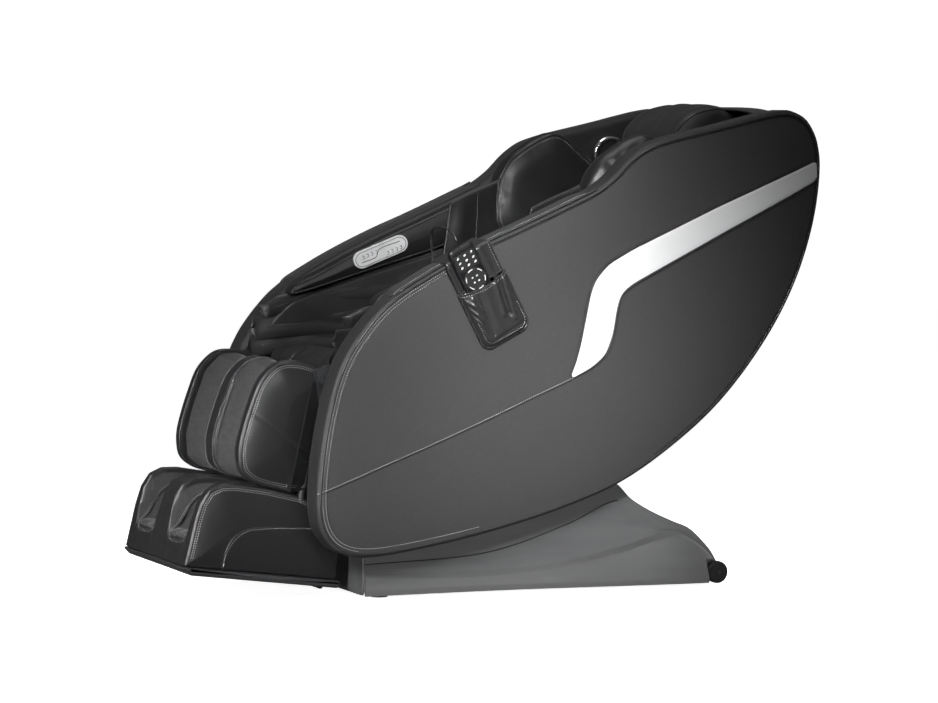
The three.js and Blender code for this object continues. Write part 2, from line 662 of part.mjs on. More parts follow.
function calfFrame() {
  const arms = [-1, 1].flatMap((side) => {
    const across = (a, b) => [side * a, side * b].sort((p, q) => p - q);
    return [
      bar([0, 0], [SLIDE_Y, -60], 20, across(208, 244)),
      rod(CALF_PIVOT.radius, across(240, 275), 0, 0, 16),
      rodBetween(SLIDE_RADIUS + 5, [side * SLIDE_X, SLIDE_Y, -45], [side * SLIDE_X, SLIDE_Y, -240], 16),
    ];
  });
  const torqueTube = rod(TORQUE_TUBE_RADIUS, [-244, 244], 0, 0, 16);
  const ties = [-60, -225].map((z) => rod(9, [-SLIDE_X, SLIDE_X], SLIDE_Y, z, 12));
  const bores = [-1, 1].map((side) =>
    rodBetween(SLIDE_RADIUS + GAP, [side * SLIDE_X, SLIDE_Y, -30], [side * SLIDE_X, SLIDE_Y, -260], 16),
  );
  return cut(join(...arms, torqueTube, ...ties), ...bores);
}

add(calf, "calf_frame", calfFrame(), material.paintedSteel);
add(
  calf,
  "calf_tray",
  block([-CALF_HALF_WIDTH + 4, CALF_HALF_WIDTH - 4], [CALF_REAR_Y + GAP, CALF_REAR_Y + 4], [-254, -18]),
  material.blackPlastic,
);
addPair(calf, "calf_wall", slab(roundedShape(CALF_WALL, 24), [184, CALF_HALF_WIDTH], 12, 2), material.padLeather);
add(calf, "calf_divider", slab(roundedShape(CALF_DIVIDER, 24), [-32, 32], 10, 2), material.padLeather);

// ---------------------------------------------------------------- foot rest
// In the foot group, the origin is the rear bottom corner, local -Y points forward along the tray.

const foot = tilted(FOOT_CORNER.y, FOOT_CORNER.z, FOOT_TILT);
const TRAY_HEIGHT = 16;
const FOOT_BODY = [
  [-343, TRAY_HEIGHT + GAP], [-338, 100], [-336, 140], [-320, 178], [-284, 192], [-246, 192], [-112, 183],
  [-24, 160], [-6, 120], [-6, TRAY_HEIGHT + GAP],
];
const WELL_X = [38, 180];
const FOOT_ROLLER = { y: -225, z: 82, radius: 20 };

/** The slide rods, in the foot group's own axes: they run up the leg, parallel to the calf rest. */
function slideRods(radius) {
  const lean = radians(CALF_TILT - FOOT_TILT);
  const start = new THREE.Vector2(FOOT_SLIDE_END.y, FOOT_SLIDE_END.z);
  const end = start.clone().add(new THREE.Vector2(-Math.sin(lean), Math.cos(lean)).multiplyScalar(FOOT_SLIDE_LENGTH));
  return [-1, 1].map((side) =>
    rodBetween(radius, [side * SLIDE_X, start.x, start.y], [side * SLIDE_X, end.x, end.y], 16),
  );
}

const FOOT_SLIDE_LENGTH = 356;
// Where the slide rods end inside the foot rest: on the line of the calf rest's guide tubes.
const FOOT_SLIDE_END = (() => {
  const down = -(42 + FOOT_SLIDE_LENGTH);
  const point = new THREE.Vector3(0, SLIDE_Y, down).applyAxisAngle(new THREE.Vector3(1, 0, 0), radians(CALF_TILT));
  point.add(new THREE.Vector3(0, CALF_PIVOT.y - FOOT_CORNER.y, CALF_PIVOT.z - FOOT_CORNER.z));
  return point.applyAxisAngle(new THREE.Vector3(1, 0, 0), radians(-FOOT_TILT));
})();

function footSlideFrame() {
  const { y, z } = FOOT_SLIDE_END;
  return join(...slideRods(SLIDE_RADIUS), block([-208, 208], [y - 10, y + 10], [z - 6, z + 8]));
}

function footRestBody() {
  const { y, z } = FOOT_SLIDE_END;
  const wells = [-1, 1].map((side) => {
    const x = WELL_X.map((v) => v * side).sort((a, b) => a - b);
    return slab(roundedShape([[-350, 124], [-350, 210], [-60, 210], [-60, 64], [-300, 64], [-318, 90]], 16), x);
  });
  const rollerSlot = join(
    rod(FOOT_ROLLER.radius + 4, [-WELL_X[1], WELL_X[1]], FOOT_ROLLER.y, FOOT_ROLLER.z, 16),
    rod(6 + GAP, [-206, 206], FOOT_ROLLER.y, FOOT_ROLLER.z, 12),
  );
  return cut(
    slab(roundedShape(FOOT_BODY, 18), [-FOOT_HALF_WIDTH, FOOT_HALF_WIDTH], 10, 2),
    ...wells,
    rollerSlot,
    ...slideRods(SLIDE_RADIUS + 1),
    block([-211, 211], [y - 12, y + 12], [-10, z + 10]),
  );
}

function footBaseTray() {
  const outline = [[-FOOT_LENGTH, 9], [-FOOT_LENGTH, TRAY_HEIGHT], [0, TRAY_HEIGHT], [0, 3], [-8, 0], [-328, 0]];
  return join(
    slab(new THREE.Shape(outline.map(vec2)), [-FOOT_HALF_WIDTH - 2, FOOT_HALF_WIDTH + 2]),
    rod(9, [-170, -130], -46, -8, 12),
    block([-168, -132], [-52, -40], [-8, 4]),
    rod(9, [130, 170], -46, -8, 12),
    block([132, 168], [-52, -40], [-8, 4]),
  );
}

function footRoller() {
  const { y, z, radius } = FOOT_ROLLER;
  const drums = [-1, 1].map((side) => {
    const x = [WELL_X[0] + 4, WELL_X[1] - 4].map((v) => v * side).sort((a, b) => a - b);
    return rod(radius, x, y, z, 16);
  });
  return join(rod(6, [-204, 204], y, z, 12), ...drums);
}

add(foot, "foot_rest_body", footRestBody(), material.padLeather);
add(foot, "foot_slide_frame", footSlideFrame(), material.paintedSteel);
add(foot, "foot_base_tray", footBaseTray(), material.blackPlastic);
add(foot, "foot_roller", footRoller(), material.blackPlastic);

// ---------------------------------------------------------------- remote, its pocket and its lead
// In the pocket group, local Z points up the pocket, local Y runs across it, and X is the chair's own.

const pocket = tilted(POCKET_MOUTH.y, POCKET_MOUTH.z, POCKET_MOUTH.tilt);
const POCKET_HALF_WIDTH = 56;
const POCKET_DEPTH = 130;
const POUCH_X = [PANEL_OUTER_X + 2, 385.5];
const STRAP = 2; // leather thickness
const REMOTE = { x: [369.1, 383], y: [-42, 18], z: [-126.5, 92] };
const KEY_WELL_FLOOR = REMOTE.x[1] - 2.4;

function remotePocket() {
  const outer = PANEL_OUTER_X + GAP;
  const across = [-POCKET_HALF_WIDTH, POCKET_HALF_WIDTH];
  const top = 72;
  return join(
    block([outer, outer + STRAP], across, [-POCKET_DEPTH, top]),
    block([PAD_INNER_X - STRAP - GAP, outer + STRAP], across, [top - STRAP, top]),
    block([PAD_INNER_X - STRAP - GAP, PAD_INNER_X - GAP], across, [30, top]),
    cut(
      slab(roundedShape([[-56, -130], [56, -130], [56, 0], [-56, 0]], 14), POUCH_X),
      block([REMOTE.x[0] - GAP, 383.6], [-53, 53], [-127, 5]),
    ),
  );
}

function remoteCase() {
  const middle = (REMOTE.y[0] + REMOTE.y[1]) / 2;
  const [low, high] = REMOTE.z;
  const outline = [[REMOTE.y[0], low], [REMOTE.y[1], low], [REMOTE.y[1], high], [REMOTE.y[0], high]];
  return cut(
    join(slab(roundedShape(outline, 10), REMOTE.x, 2, 1), rodBetween(4.5, [376, middle, high - 2], [376, middle, high + 9], 12)),
    block([KEY_WELL_FLOOR, 390], [middle - 22, middle + 22], [42, 78]),
    rod(21, [KEY_WELL_FLOOR, 390], middle, 17, 24),
  );
}

/** The silicone sheet with nine domed keys. */
function remoteKeypad() {
  const middle = (REMOTE.y[0] + REMOTE.y[1]) / 2;
  const sheetX = [KEY_WELL_FLOOR + 0.9, KEY_WELL_FLOOR + 2];
  const keys = [-14, 0, 14].flatMap((y) =>
    [49, 60, 71].map((z) => rod(3.4, [sheetX[1] - 0.4, sheetX[1] + 1.2], middle + y, z, 8)),
  );
  return join(block(sheetX, [middle - 21.4, middle + 21.4], [42.6, 77.4]), ...keys);
}

function remoteRingKey() {
  const middle = (REMOTE.y[0] + REMOTE.y[1]) / 2;
  const ring = [[8, KEY_WELL_FLOOR + 0.9], [20.4, KEY_WELL_FLOOR + 0.9], [20, KEY_WELL_FLOOR + 2.8], [8, KEY_WELL_FLOOR + 2.8]];
  ring.push(ring[0]);
  return new THREE.LatheGeometry(ring.map(([r, h]) => new THREE.Vector2(r, h)), 24)
    .rotateZ(-Math.PI / 2)
    .translate(0, middle, 17);
}

add(pocket, "remote_pocket", remotePocket(), material.padLeather);
add(pocket, "remote_case", remoteCase(), material.blackPlastic);
add(pocket, "remote_keypad", remoteKeypad(), material.rubber);
add(pocket, "remote_ring_key", remoteRingKey(), material.silverTrim);

// The remote's lead: out of the gland on the left arm pad, down beside the sitter, up and over the armrest.
const GLAND = { y: 28, z: 752, x: [217, PAD_INNER_X - GAP] };
const LEAD_RADIUS = 2.5;
const LEAD_ROUTE = [
  [216.2, 28, 752], [210, 28, 751], [206, 27, 738], [208, 26, 712], [212, 22, 678], [216, 17, 642], [219, 9, 606],
  [221, -2, 572], [222, -16, 540], [223, -34, 514], [223, -57, 500], [223, -82, 500], [223, -104, 513],
  [223, -119, 540], [223, -130, 574], [223, -138, 610], [223, -143, 648], [223, -148, 686], [224, -151, 716],
  [227, -154, 740], [235, -158, 757], [248, -161, 767], [272, -165, 774], [300, -167, 777], [330, -167, 776],
  [354, -165, 771], [370, -162, 763], [375.6, -159, 753], [376, -157.4, 748.6],
];

function remoteLead() {
  const route = new THREE.CatmullRomCurve3(LEAD_ROUTE.map((p) => new THREE.Vector3(...p)), false, "centripetal");
  const section = new THREE.Shape();
  for (let i = 0; i < 6; i++) {
    const angle = (i * Math.PI) / 3;
    const point = [LEAD_RADIUS * Math.cos(angle), LEAD_RADIUS * Math.sin(angle)];
    if (i) section.lineTo(...point);
    else section.moveTo(...point);
  }
  section.closePath();
  return new THREE.ExtrudeGeometry(section, { extrudePath: route, steps: 66, bevelEnabled: false, curveSegments: 1 });
}

const gland = join(
  rod(7, [GLAND.x[1] - 4, GLAND.x[1]], GLAND.y, GLAND.z, 16),
  rod(4.5, [GLAND.x[0], GLAND.x[1] - 2], GLAND.y, GLAND.z, 12),
);
add(chair, "lead_gland", gland, material.rubber);
add(chair, "remote_lead", remoteLead(), material.cord);

export default chair;
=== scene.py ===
"""Massage chair: the visual model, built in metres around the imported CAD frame.

The chair faces -Y, +X is the sitter's left and +Z is up. Most of its pieces are lofts along X: a side-on
(y, z) outline, usually that of the CAD node which the piece replaces, is swept across the chair and shaped at
each slice. Paired pieces are built on the sitter's left and mirrored.
"""
import json
import math

import bpy
import numpy as np
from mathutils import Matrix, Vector, noise
from mathutils.bvhtree import BVHTree
from mathutils.kdtree import KDTree


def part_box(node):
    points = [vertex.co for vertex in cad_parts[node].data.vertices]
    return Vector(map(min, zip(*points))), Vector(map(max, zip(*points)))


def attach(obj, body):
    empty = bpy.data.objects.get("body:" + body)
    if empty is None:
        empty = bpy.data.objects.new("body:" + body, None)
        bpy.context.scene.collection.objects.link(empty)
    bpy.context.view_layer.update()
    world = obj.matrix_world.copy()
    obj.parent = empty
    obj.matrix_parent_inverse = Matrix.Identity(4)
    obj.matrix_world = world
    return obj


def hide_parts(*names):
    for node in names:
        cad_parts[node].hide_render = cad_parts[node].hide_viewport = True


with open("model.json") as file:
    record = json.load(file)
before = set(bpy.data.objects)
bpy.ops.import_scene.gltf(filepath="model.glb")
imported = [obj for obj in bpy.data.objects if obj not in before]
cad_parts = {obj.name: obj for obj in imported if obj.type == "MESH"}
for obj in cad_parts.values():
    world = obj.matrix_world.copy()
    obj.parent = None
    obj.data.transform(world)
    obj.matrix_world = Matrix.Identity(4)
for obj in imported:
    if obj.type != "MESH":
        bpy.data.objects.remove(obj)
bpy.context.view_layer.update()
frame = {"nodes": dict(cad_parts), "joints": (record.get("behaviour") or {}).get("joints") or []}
SIDES = (("left", 1), ("right", -1))
INWARD = (1, 0, 0)
DOWN = (0, 0, -1)


# ---------------------------------------------------------------- materials


def material(name, color, roughness, metallic=0.0):
    """A material with a plain principled shader, for its detail to be added to."""
    mat = bpy.data.materials.new(name)
    mat.use_nodes = True
    shade(mat, **{"Base Color": (*color, 1), "Roughness": roughness, "Metallic": metallic})
    mat.diffuse_color = (*color, 1)
    return mat


def principled(mat):
    return mat.node_tree.nodes["Principled BSDF"]


def shade(mat, **values):
    """Sets sockets of a material's shader."""
    for socket, value in values.items():
        principled(mat).inputs[socket].default_value = value


def shades(color, dark, light):
    """A colour made darker and lighter."""
    return [c * dark for c in color], [c * light for c in color]


def add_node(mat, kind, **values):
    node = mat.node_tree.nodes.new(kind)
    for key, value in values.items():
        if key in node.inputs:
            node.inputs[key].default_value = value
        else:
            setattr(node, key, value)
    return node


def link(mat, source, output, target, socket):
    mat.node_tree.links.new(source.outputs[output], target.inputs[socket])


def object_space(mat, scale=(1, 1, 1)):
    """Object coordinates in the chair's own metres, stretched by a mapping."""
    place = add_node(mat, "ShaderNodeTexCoord")
    mapping = add_node(mat, "ShaderNodeMapping", Scale=scale)
    link(mat, place, "Object", mapping, "Vector")
    return mapping


def vary(mat, target, low, high, scale, detail=4, stretch=(1, 1, 1)):
    """Mottles a shader socket between two values (or colours) with noise of the given scale per metre."""
    cloud = add_node(mat, "ShaderNodeTexNoise", Scale=scale, Detail=detail, Roughness=0.6)
    ramp = add_node(mat, "ShaderNodeValToRGB")
    link(mat, object_space(mat, stretch), "Vector", cloud, "Vector")
    link(mat, cloud, "Fac", ramp, "Fac")
    ramp.color_ramp.elements[0].position = 0.3
    ramp.color_ramp.elements[1].position = 0.7
    as_color = [v if hasattr(v, "__len__") else (v, v, v) for v in (low, high)]
    for element, value in zip(ramp.color_ramp.elements, as_color):
        element.color = (*value, 1)
    link(mat, ramp, "Color", principled(mat), target)


def bump(mat, layers):
    """Adds bump layers, each (texture node, its output, height in metres, strength)."""
    previous = None
    for texture, output, height, strength in layers:
        node = add_node(mat, "ShaderNodeBump", Strength=strength, Distance=height)
        link(mat, texture, output, node, "Height")
        if previous:
            link(mat, previous, "Normal", node, "Normal")
        previous = node
    link(mat, previous, "Normal", principled(mat), "Normal")


def leather(name, color, roughness, grain=0.0006, strength=0.35, pebble=420, shine=0.4):
    """Grained synthetic leather: pebbled cells, fine pores and slow mottling of tone and gloss."""
    mat = material(name, color, roughness)
    shade(mat, **{"Specular IOR Level": shine})
    cells = add_node(mat, "ShaderNodeTexVoronoi", Scale=pebble, feature="SMOOTH_F1", Smoothness=0.6)
    pores = add_node(mat, "ShaderNodeTexNoise", Scale=pebble * 3.2, Detail=3)
    creases = add_node(mat, "ShaderNodeTexNoise", Scale=34, Detail=5, Roughness=0.55)
    space = object_space(mat)
    for texture in (cells, pores, creases):
        link(mat, space, "Vector", texture, "Vector")
    layers = [(cells, "Distance", grain, strength), (pores, "Fac", grain * 0.4, 0.3)]
    bump(mat, [(creases, "Fac", 0.0012, 0.25), *layers])
    vary(mat, "Base Color", *shades(color, 0.9, 1.1), 240)
    vary(mat, "Roughness", roughness - 0.05, roughness + 0.05, 18)
    return mat


def fabric(name, color, roughness, pitch):
    """Matt woven lining: crossing ribs a pitch apart, with a soft sheen."""
    mat = material(name, color, roughness)
    shade(mat, **{"Sheen Weight": 0.25, "Sheen Roughness": 0.5})
    space = object_space(mat)
    ribs = [
        add_node(mat, "ShaderNodeTexWave", Scale=0.05 / pitch, Distortion=0.6, bands_direction=axis, Detail=2)
        for axis in ("Y", "Z")
    ]
    for rib in ribs:
        link(mat, space, "Vector", rib, "Vector")
    bump(mat, [(rib, "Fac", 0.0003, 0.4) for rib in ribs])
    vary(mat, "Base Color", *shades(color, 0.8, 1.2), 90)
    return mat


def moulded(name, color, roughness, texture=900, height=0.00015, streaks=False):
    """Moulded plastic: a fine spark-eroded texture, with faint drawn-out streaks where asked."""
    mat = material(name, color, roughness)
    spark = add_node(mat, "ShaderNodeTexNoise", Scale=texture, Detail=4, Roughness=0.7)
    link(mat, object_space(mat), "Vector", spark, "Vector")
    bump(mat, [(spark, "Fac", height, 0.5)])
    if streaks:
        vary(mat, "Base Color", *shades(color, 0.86, 1.12), 9, 6, (1, 0.35, 2.2))
    else:
        vary(mat, "Base Color", *shades(color, 0.9, 1.1), 30)
    vary(mat, "Roughness", roughness - 0.06, roughness + 0.06, 40)
    return mat


def metal(name, color, roughness, stretch=(1, 40, 40)):
    """Drawn or plated metal, with fine lines along one axis."""
    mat = material(name, color, roughness, 1.0)
    lines = add_node(mat, "ShaderNodeTexNoise", Scale=30, Detail=6, Roughness=0.7)
    link(mat, object_space(mat, stretch), "Vector", lines, "Vector")
    bump(mat, [(lines, "Fac", 0.0001, 0.25)])
    vary(mat, "Roughness", max(roughness - 0.05, 0.02), roughness + 0.08, 60)
    return mat


def satin_silver():
    """The side stripes' silver film: bright satin with a slow change of tone."""
    dark, light = (0.90, 0.905, 0.91), (0.96, 0.965, 0.97)
    mat = material("silver_film", dark, 0.42, 0.05)
    fine = add_node(mat, "ShaderNodeTexNoise", Scale=1400, Detail=2)
    link(mat, object_space(mat), "Vector", fine, "Vector")
    bump(mat, [(fine, "Fac", 0.0001, 0.3)])
    vary(mat, "Base Color", dark, light, 5, 3)
    vary(mat, "Roughness", 0.36, 0.48, 25)
    return mat


MAT = {
    "panel": leather("panel_leather", (0.052, 0.052, 0.053), 0.62, 0.0007, 0.45, 380, 0.35),
    "top": leather("arm_leather", (0.036, 0.036, 0.037), 0.5, 0.0005, 0.35, 420, 0.35),
    "gloss": leather("gloss_leather", (0.017, 0.017, 0.0175), 0.38, 0.0003, 0.2, 520, 0.5),
    "pocket": leather("pocket_leather", (0.027, 0.027, 0.028), 0.34, 0.0003, 0.2, 620, 0.5),
    "lining": fabric("lining_fabric", (0.037, 0.037, 0.038), 0.8, 0.0016),
    "piping": leather("piping_leather", (0.040, 0.040, 0.041), 0.18, 0.0002, 0.2, 700, 0.6),
    "thread": moulded("sewing_thread", (0.50, 0.50, 0.505), 0.5, 2500, 0.0001),
    # Near-black: the thread of the dark stitches, and also painted shade laid along the side panels' seams.
    "dark_thread_and_seam_shade": moulded("dark_thread_and_seam_shade", (0.010, 0.010, 0.010), 0.6, 2500, 0.0001),
    "silver": satin_silver(),
    "base": moulded("base_plastic", (0.112, 0.113, 0.114), 0.46, 1100, 0.00012, streaks=True),
    "black": moulded("black_plastic", (0.012, 0.012, 0.013), 0.42),
    "tray": moulded("tray_plastic", (0.040, 0.040, 0.042), 0.34),
    "remote": moulded("remote_plastic", (0.008, 0.008, 0.009), 0.3, 1600, 0.00005),
    "keys": moulded("key_plastic", (0.82, 0.82, 0.82), 0.45, 1600, 0.00003),
    "rubber": moulded("black_rubber", (0.012, 0.012, 0.012), 0.8, 700, 0.0002),
    "cord": moulded("cord_jacket", (0.030, 0.030, 0.031), 0.25, 2000, 0.00004),
    "steel": metal("drawn_steel", (0.55, 0.56, 0.57), 0.3),
    "chrome": metal("chrome_plate", (0.86, 0.86, 0.87), 0.16, (1, 3, 3)),
    "paint": moulded("frame_paint", (0.028, 0.029, 0.032), 0.45, 500, 0.0002),
    "grille": moulded("speaker_cloth", (0.012, 0.012, 0.012), 0.95, 1200, 0.0005),
    "badge": moulded("badge_paint", (0.88, 0.885, 0.89), 0.34, 900, 0.0001),
    "badge_mark": moulded("badge_ink", (0.10, 0.10, 0.10), 0.4, 900, 0.0001),
}


# ---------------------------------------------------------------- outlines and paths


def spread(points, count, closed=True):
    """The path through the points, as evenly spaced points."""
    path = np.asarray(points, float)
    if closed:
        path = np.vstack([path, path[:1]])
    step = np.linalg.norm(np.diff(path, axis=0), axis=1)
    along = np.concatenate([[0], np.cumsum(step)])
    at = np.linspace(0, along[-1], count, endpoint=not closed)
    return np.stack([np.interp(at, along, path[:, k]) for k in range(path.shape[1])], axis=1)


def relax(loop, passes):
    """Smooths a closed loop of points."""
    for _ in range(passes):
        loop = 0.5 * loop + 0.25 * (np.roll(loop, 1, axis=0) + np.roll(loop, -1, axis=0))
    return loop


def curve(points, count):
    """A smooth open curve through the points, evenly spaced (centripetal Catmull-Rom)."""
    p = np.asarray(points, float)
    p = np.vstack([2 * p[0] - p[1], p, 2 * p[-1] - p[-2]])
    knots = np.concatenate([[0], np.cumsum(np.sqrt(np.linalg.norm(np.diff(p, axis=0), axis=1)))])
    out = []
    for i in range(1, len(p) - 2):
        t = np.linspace(knots[i], knots[i + 1], 24)[:, None]
        t0, t1, t2, t3 = knots[i - 1 : i + 3]
        a1 = (t1 - t) / (t1 - t0) * p[i - 1] + (t - t0) / (t1 - t0) * p[i]
        a2 = (t2 - t) / (t2 - t1) * p[i] + (t - t1) / (t2 - t1) * p[i + 1]
        a3 = (t3 - t) / (t3 - t2) * p[i + 1] + (t - t2) / (t3 - t2) * p[i + 2]
        b1 = (t2 - t) / (t2 - t0) * a1 + (t - t0) / (t2 - t0) * a2
        b2 = (t3 - t) / (t3 - t1) * a2 + (t - t1) / (t3 - t1) * a3
        out.append((t2 - t) / (t2 - t1) * b1 + (t - t1) / (t2 - t1) * b2)
    return spread(np.vstack(out), count, closed=False)


def outward(loop):
    """Outward normals of an anticlockwise (y, z) loop."""
    along = np.roll(loop, -1, axis=0) - np.roll(loop, 1, axis=0)
    along /= np.linalg.norm(along, axis=1)[:, None] + 1e-12
    return np.stack([along[:, 1], -along[:, 0]], axis=1)


def inset(loop, distance, step=0.003):
    """The loop moved inwards, a little at a time so that tight corners stay clean."""
    steps = max(1, int(math.ceil(abs(distance) / step)))
    for _ in range(steps):
        loop = relax(loop - outward(loop) * distance / steps, 1)
    return loop


def cad_outline(node, count=200, passes=3):
    """The anticlockwise (y, z) outline of a node that the CAD extrudes along X, from its widest ring."""
    mesh = frame["nodes"][node].data
    corners = np.round(np.array([v.co for v in mesh.vertices]), 5)
    unique, which = np.unique(corners, axis=0, return_inverse=True)
    which = which.reshape(-1)
    edges = {}
    for polygon in mesh.polygons:
        ids = [int(which[i]) for i in polygon.vertices]
        flat = np.ptp(unique[ids, 0]) < 1e-5
        for a, b in zip(ids, ids[1:] + ids[:1]):
            if a != b and abs(unique[a, 0] - unique[b, 0]) < 1e-5:
                edges.setdefault((min(a, b), max(a, b)), []).append(flat)
    near = {}
    for (a, b), flats in edges.items():
        if not all(flats):
            near.setdefault(a, []).append(b)
            near.setdefault(b, []).append(a)
    best, seen = None, set()
    for start in near:
        if start in seen:
            continue
        loop, here, before = [start], near[start][0], start
        while here != start and here not in seen and len(loop) < 5000:
            loop.append(here)
            ahead = [n for n in near[here] if n != before]
            if not ahead:
                break
            before, here = here, ahead[0]
        seen.update(loop)
        ring = unique[loop][:, 1:]
        size = np.linalg.norm(np.ptp(ring, axis=0))
        if here == start and (best is None or size > best[0] + 1e-5):
            best = (size, ring)
    ring = best[1]
    area = np.sum(ring[:, 0] * np.roll(ring[:, 1], -1) - np.roll(ring[:, 0], -1) * ring[:, 1])
    if area < 0:
        ring = ring[::-1]
    return relax(spread(ring, count), passes)


def at_x(x, line):
    """A (y, z) line as a 3-D path at one x, or at an x for each point."""
    return np.column_stack([np.broadcast_to(x, len(line)), line])


def outward_open(line):
    """Unit vectors to the left of an open (y, z) line."""
    along = np.gradient(line, axis=0)
    along /= np.linalg.norm(along, axis=1)[:, None] + 1e-12
    return np.stack([-along[:, 1], along[:, 0]], axis=1)


def full_turn(count):
    """Evenly spaced angles round a circle."""
    return np.arange(count) * 2 * math.pi / count


def bent(value, power):
    """A power of a value that keeps its sign."""
    return np.sign(value) * np.abs(value) ** power


def near_distance(points, loop):
    """Each (y, z) point's distance to the nearest point of the loop."""
    gaps = points[:, None, :] - loop[None, :, :]
    return np.sqrt((gaps**2).sum(axis=2)).min(axis=1)


# ---------------------------------------------------------------- mesh tools


def new_mesh(name, vertices, faces, mat, smooth=True):
    mesh = bpy.data.meshes.new(name)
    mesh.from_pydata([tuple(map(float, v)) for v in vertices], [], [tuple(map(int, f)) for f in faces])
    mesh.validate()
    obj = bpy.data.objects.new(name, mesh)
    bpy.context.scene.collection.objects.link(obj)
    mesh.polygons.foreach_set("use_smooth", [smooth] * len(mesh.polygons))
    mesh.materials.append(MAT[mat])
    return obj


def skin(rings, closed=True):
    """Quads between rings of equal size; returns (vertices, faces)."""
    size = len(rings[0])
    faces = []
    last = size if closed else size - 1
    for r in range(len(rings) - 1):
        for i in range(last):
            j = (i + 1) % size
            a, b = r * size + i, r * size + j
            faces.append((a, b, b + size, a + size))
    return np.vstack(rings), faces


def closed_loft(name, rings, mat, flip=False):
    """A closed body through rings of equal size, its two end rings filled."""
    vertices, faces = skin(rings)
    size = len(rings[0])
    faces += [tuple(range(size))[::-1], tuple(range(len(vertices) - size, len(vertices)))]
    if flip:
        faces = [face[::-1] for face in faces]
    return new_mesh(name, vertices, faces, mat)


def dome(ring, crown, soft, steps):
    """Rings that close one towards its middle, rising along X by crown as they get further from the edge."""
    edge = ring[:, 1:]
    middle = ring.mean(axis=0)
    rings = []
    for k in range(1, steps + 1):
        shrink = (1 - k / (steps + 0.6)) ** 1.15
        inner = middle + (ring - middle) * shrink
        inner[:, 0] = ring[:, 0] + crown * (1 - np.exp(-near_distance(inner[:, 1:], edge) / soft))
        rings.append(inner)
    return rings


def loft_x(name, outline, slices, mat, crown=(0.0, 0.0), soft=0.03, steps=12):
    """A closed body: an anticlockwise (y, z) outline, or a function of x that gives one, swept along X.

    slices is a list of (x, inset) in rising or falling x. crown is how far the first and last faces stand
    out, and soft is how quickly they rise from their edges.
    """
    rings = []
    for x, depth in slices:
        loop = outline(x) if callable(outline) else outline
        loop = inset(loop, depth) if depth else loop
        rings.append(at_x(x, loop))
    sign = 1 if slices[-1][0] > slices[0][0] else -1
    first = dome(rings[0], -crown[0] * sign, soft, steps)
    last = dome(rings[-1], crown[1] * sign, soft, steps)
    return closed_loft(name, first[::-1] + rings + last, mat, flip=sign < 0)


def rounded_slices(x0, x1, radius0, radius1, steps=7, middle=4):
    """Slices from x0 to x1 whose edges are rounded with the two radii."""
    sign = 1 if x1 > x0 else -1
    turn = np.linspace(0, math.pi / 2, steps)
    start = [(x0 + sign * radius0 * (1 - math.sin(a)), radius0 * (1 - math.cos(a))) for a in turn[::-1]]
    end = [(x1 - sign * radius1 * (1 - math.sin(a)), radius1 * (1 - math.cos(a))) for a in turn]
    inner = [(x, 0.0) for x in np.linspace(start[-1][0], end[0][0], middle + 2)[1:-1]]
    return start + inner + end


def mirrored(obj, name):
    """A copy on the sitter's other side, with its faces turned back outwards."""
    copy = obj.copy()
    copy.data = obj.data.copy()
    copy.name = name
    bpy.context.scene.collection.objects.link(copy)
    for vertex in copy.data.vertices:
        vertex.co.x = -vertex.co.x
    copy.data.flip_normals()
    return copy


def frames_along(path, closed):
    """Two unit vectors across a 3-D path at each point, carried along it without twist."""
    ahead = np.roll(path, -1, axis=0) - np.roll(path, 1, axis=0)
    if not closed:
        ahead[0], ahead[-1] = path[1] - path[0], path[-1] - path[-2]
    ahead /= np.linalg.norm(ahead, axis=1)[:, None] + 1e-12
    side = np.cross(ahead[0], [1.0, 0.02, 0.03])
    if np.linalg.norm(side) < 0.1:
        side = np.cross(ahead[0], [0, 0, 1.0])
    sides = []
    for direction in ahead:
        side = side - direction * np.dot(side, direction)
        side /= np.linalg.norm(side) + 1e-12
        sides.append(side.copy())
    sides = np.array(sides)
    return ahead, sides, np.cross(ahead, sides)


def tube(name, path, radius, mat, closed=False, sides=8):
    """A round tube along a path; radius is a number, or one for each point."""
    path = np.asarray(path, float)
    _, u, v = frames_along(path, closed)
    radii = np.broadcast_to(np.asarray(radius, float), len(path))
    angles = full_turn(sides)
    rings = [
        path[i] + radii[i] * (np.outer(np.cos(angles), u[i]) + np.outer(np.sin(angles), v[i]))
        for i in range(len(path))
    ]
    if not closed:
        return closed_loft(name, rings, mat)
    # The last ring is the first one again, turned to match its neighbour.
    twist = int(np.argmin(np.linalg.norm(rings[0] - rings[-1][0], axis=1)))
    rings.append(np.roll(rings[0], -twist, axis=0))
    vertices, faces = skin(rings)
    size = len(vertices) - sides
    faces = [tuple(i if i < size else (i - size + twist) % sides for i in f) for f in faces]
    return new_mesh(name, vertices[:size], faces, mat)


def stitches(name, path, mat="thread", pitch=0.0050, share=0.66, radius=0.00050, closed=True):
    """A row of short raised stitches along a path."""
    path = np.asarray(path, float)
    length = np.linalg.norm(np.diff(path, axis=0), axis=1).sum()
    count = max(2, int(length / pitch))
    spots = spread(path, count, closed)
    ahead, u, v = frames_along(spots, closed)
    half = pitch * share / 2
    profile = [(-1.0, 0.15), (-0.75, 0.8), (0.0, 1.0), (0.75, 0.8), (1.0, 0.15)]
    angles = full_turn(6)
    vertices, faces = [], []
    for i, spot in enumerate(spots):
        start = len(vertices)
        for t, r in profile:
            for a in angles:
                offset = radius * r * (math.cos(a) * u[i] + math.sin(a) * v[i])
                vertices.append(spot + ahead[i] * half * t + offset)
        for k in range(len(profile) - 1):
            for j in range(6):
                a, b = start + k * 6 + j, start + k * 6 + (j + 1) % 6
                faces.append((a, b, b + 6, a + 6))
        faces.append(tuple(range(start + 5, start - 1, -1)))
        faces.append(tuple(range(start + 6 * (len(profile) - 1), start + 6 * len(profile))))
    return new_mesh(name, vertices, faces, mat)


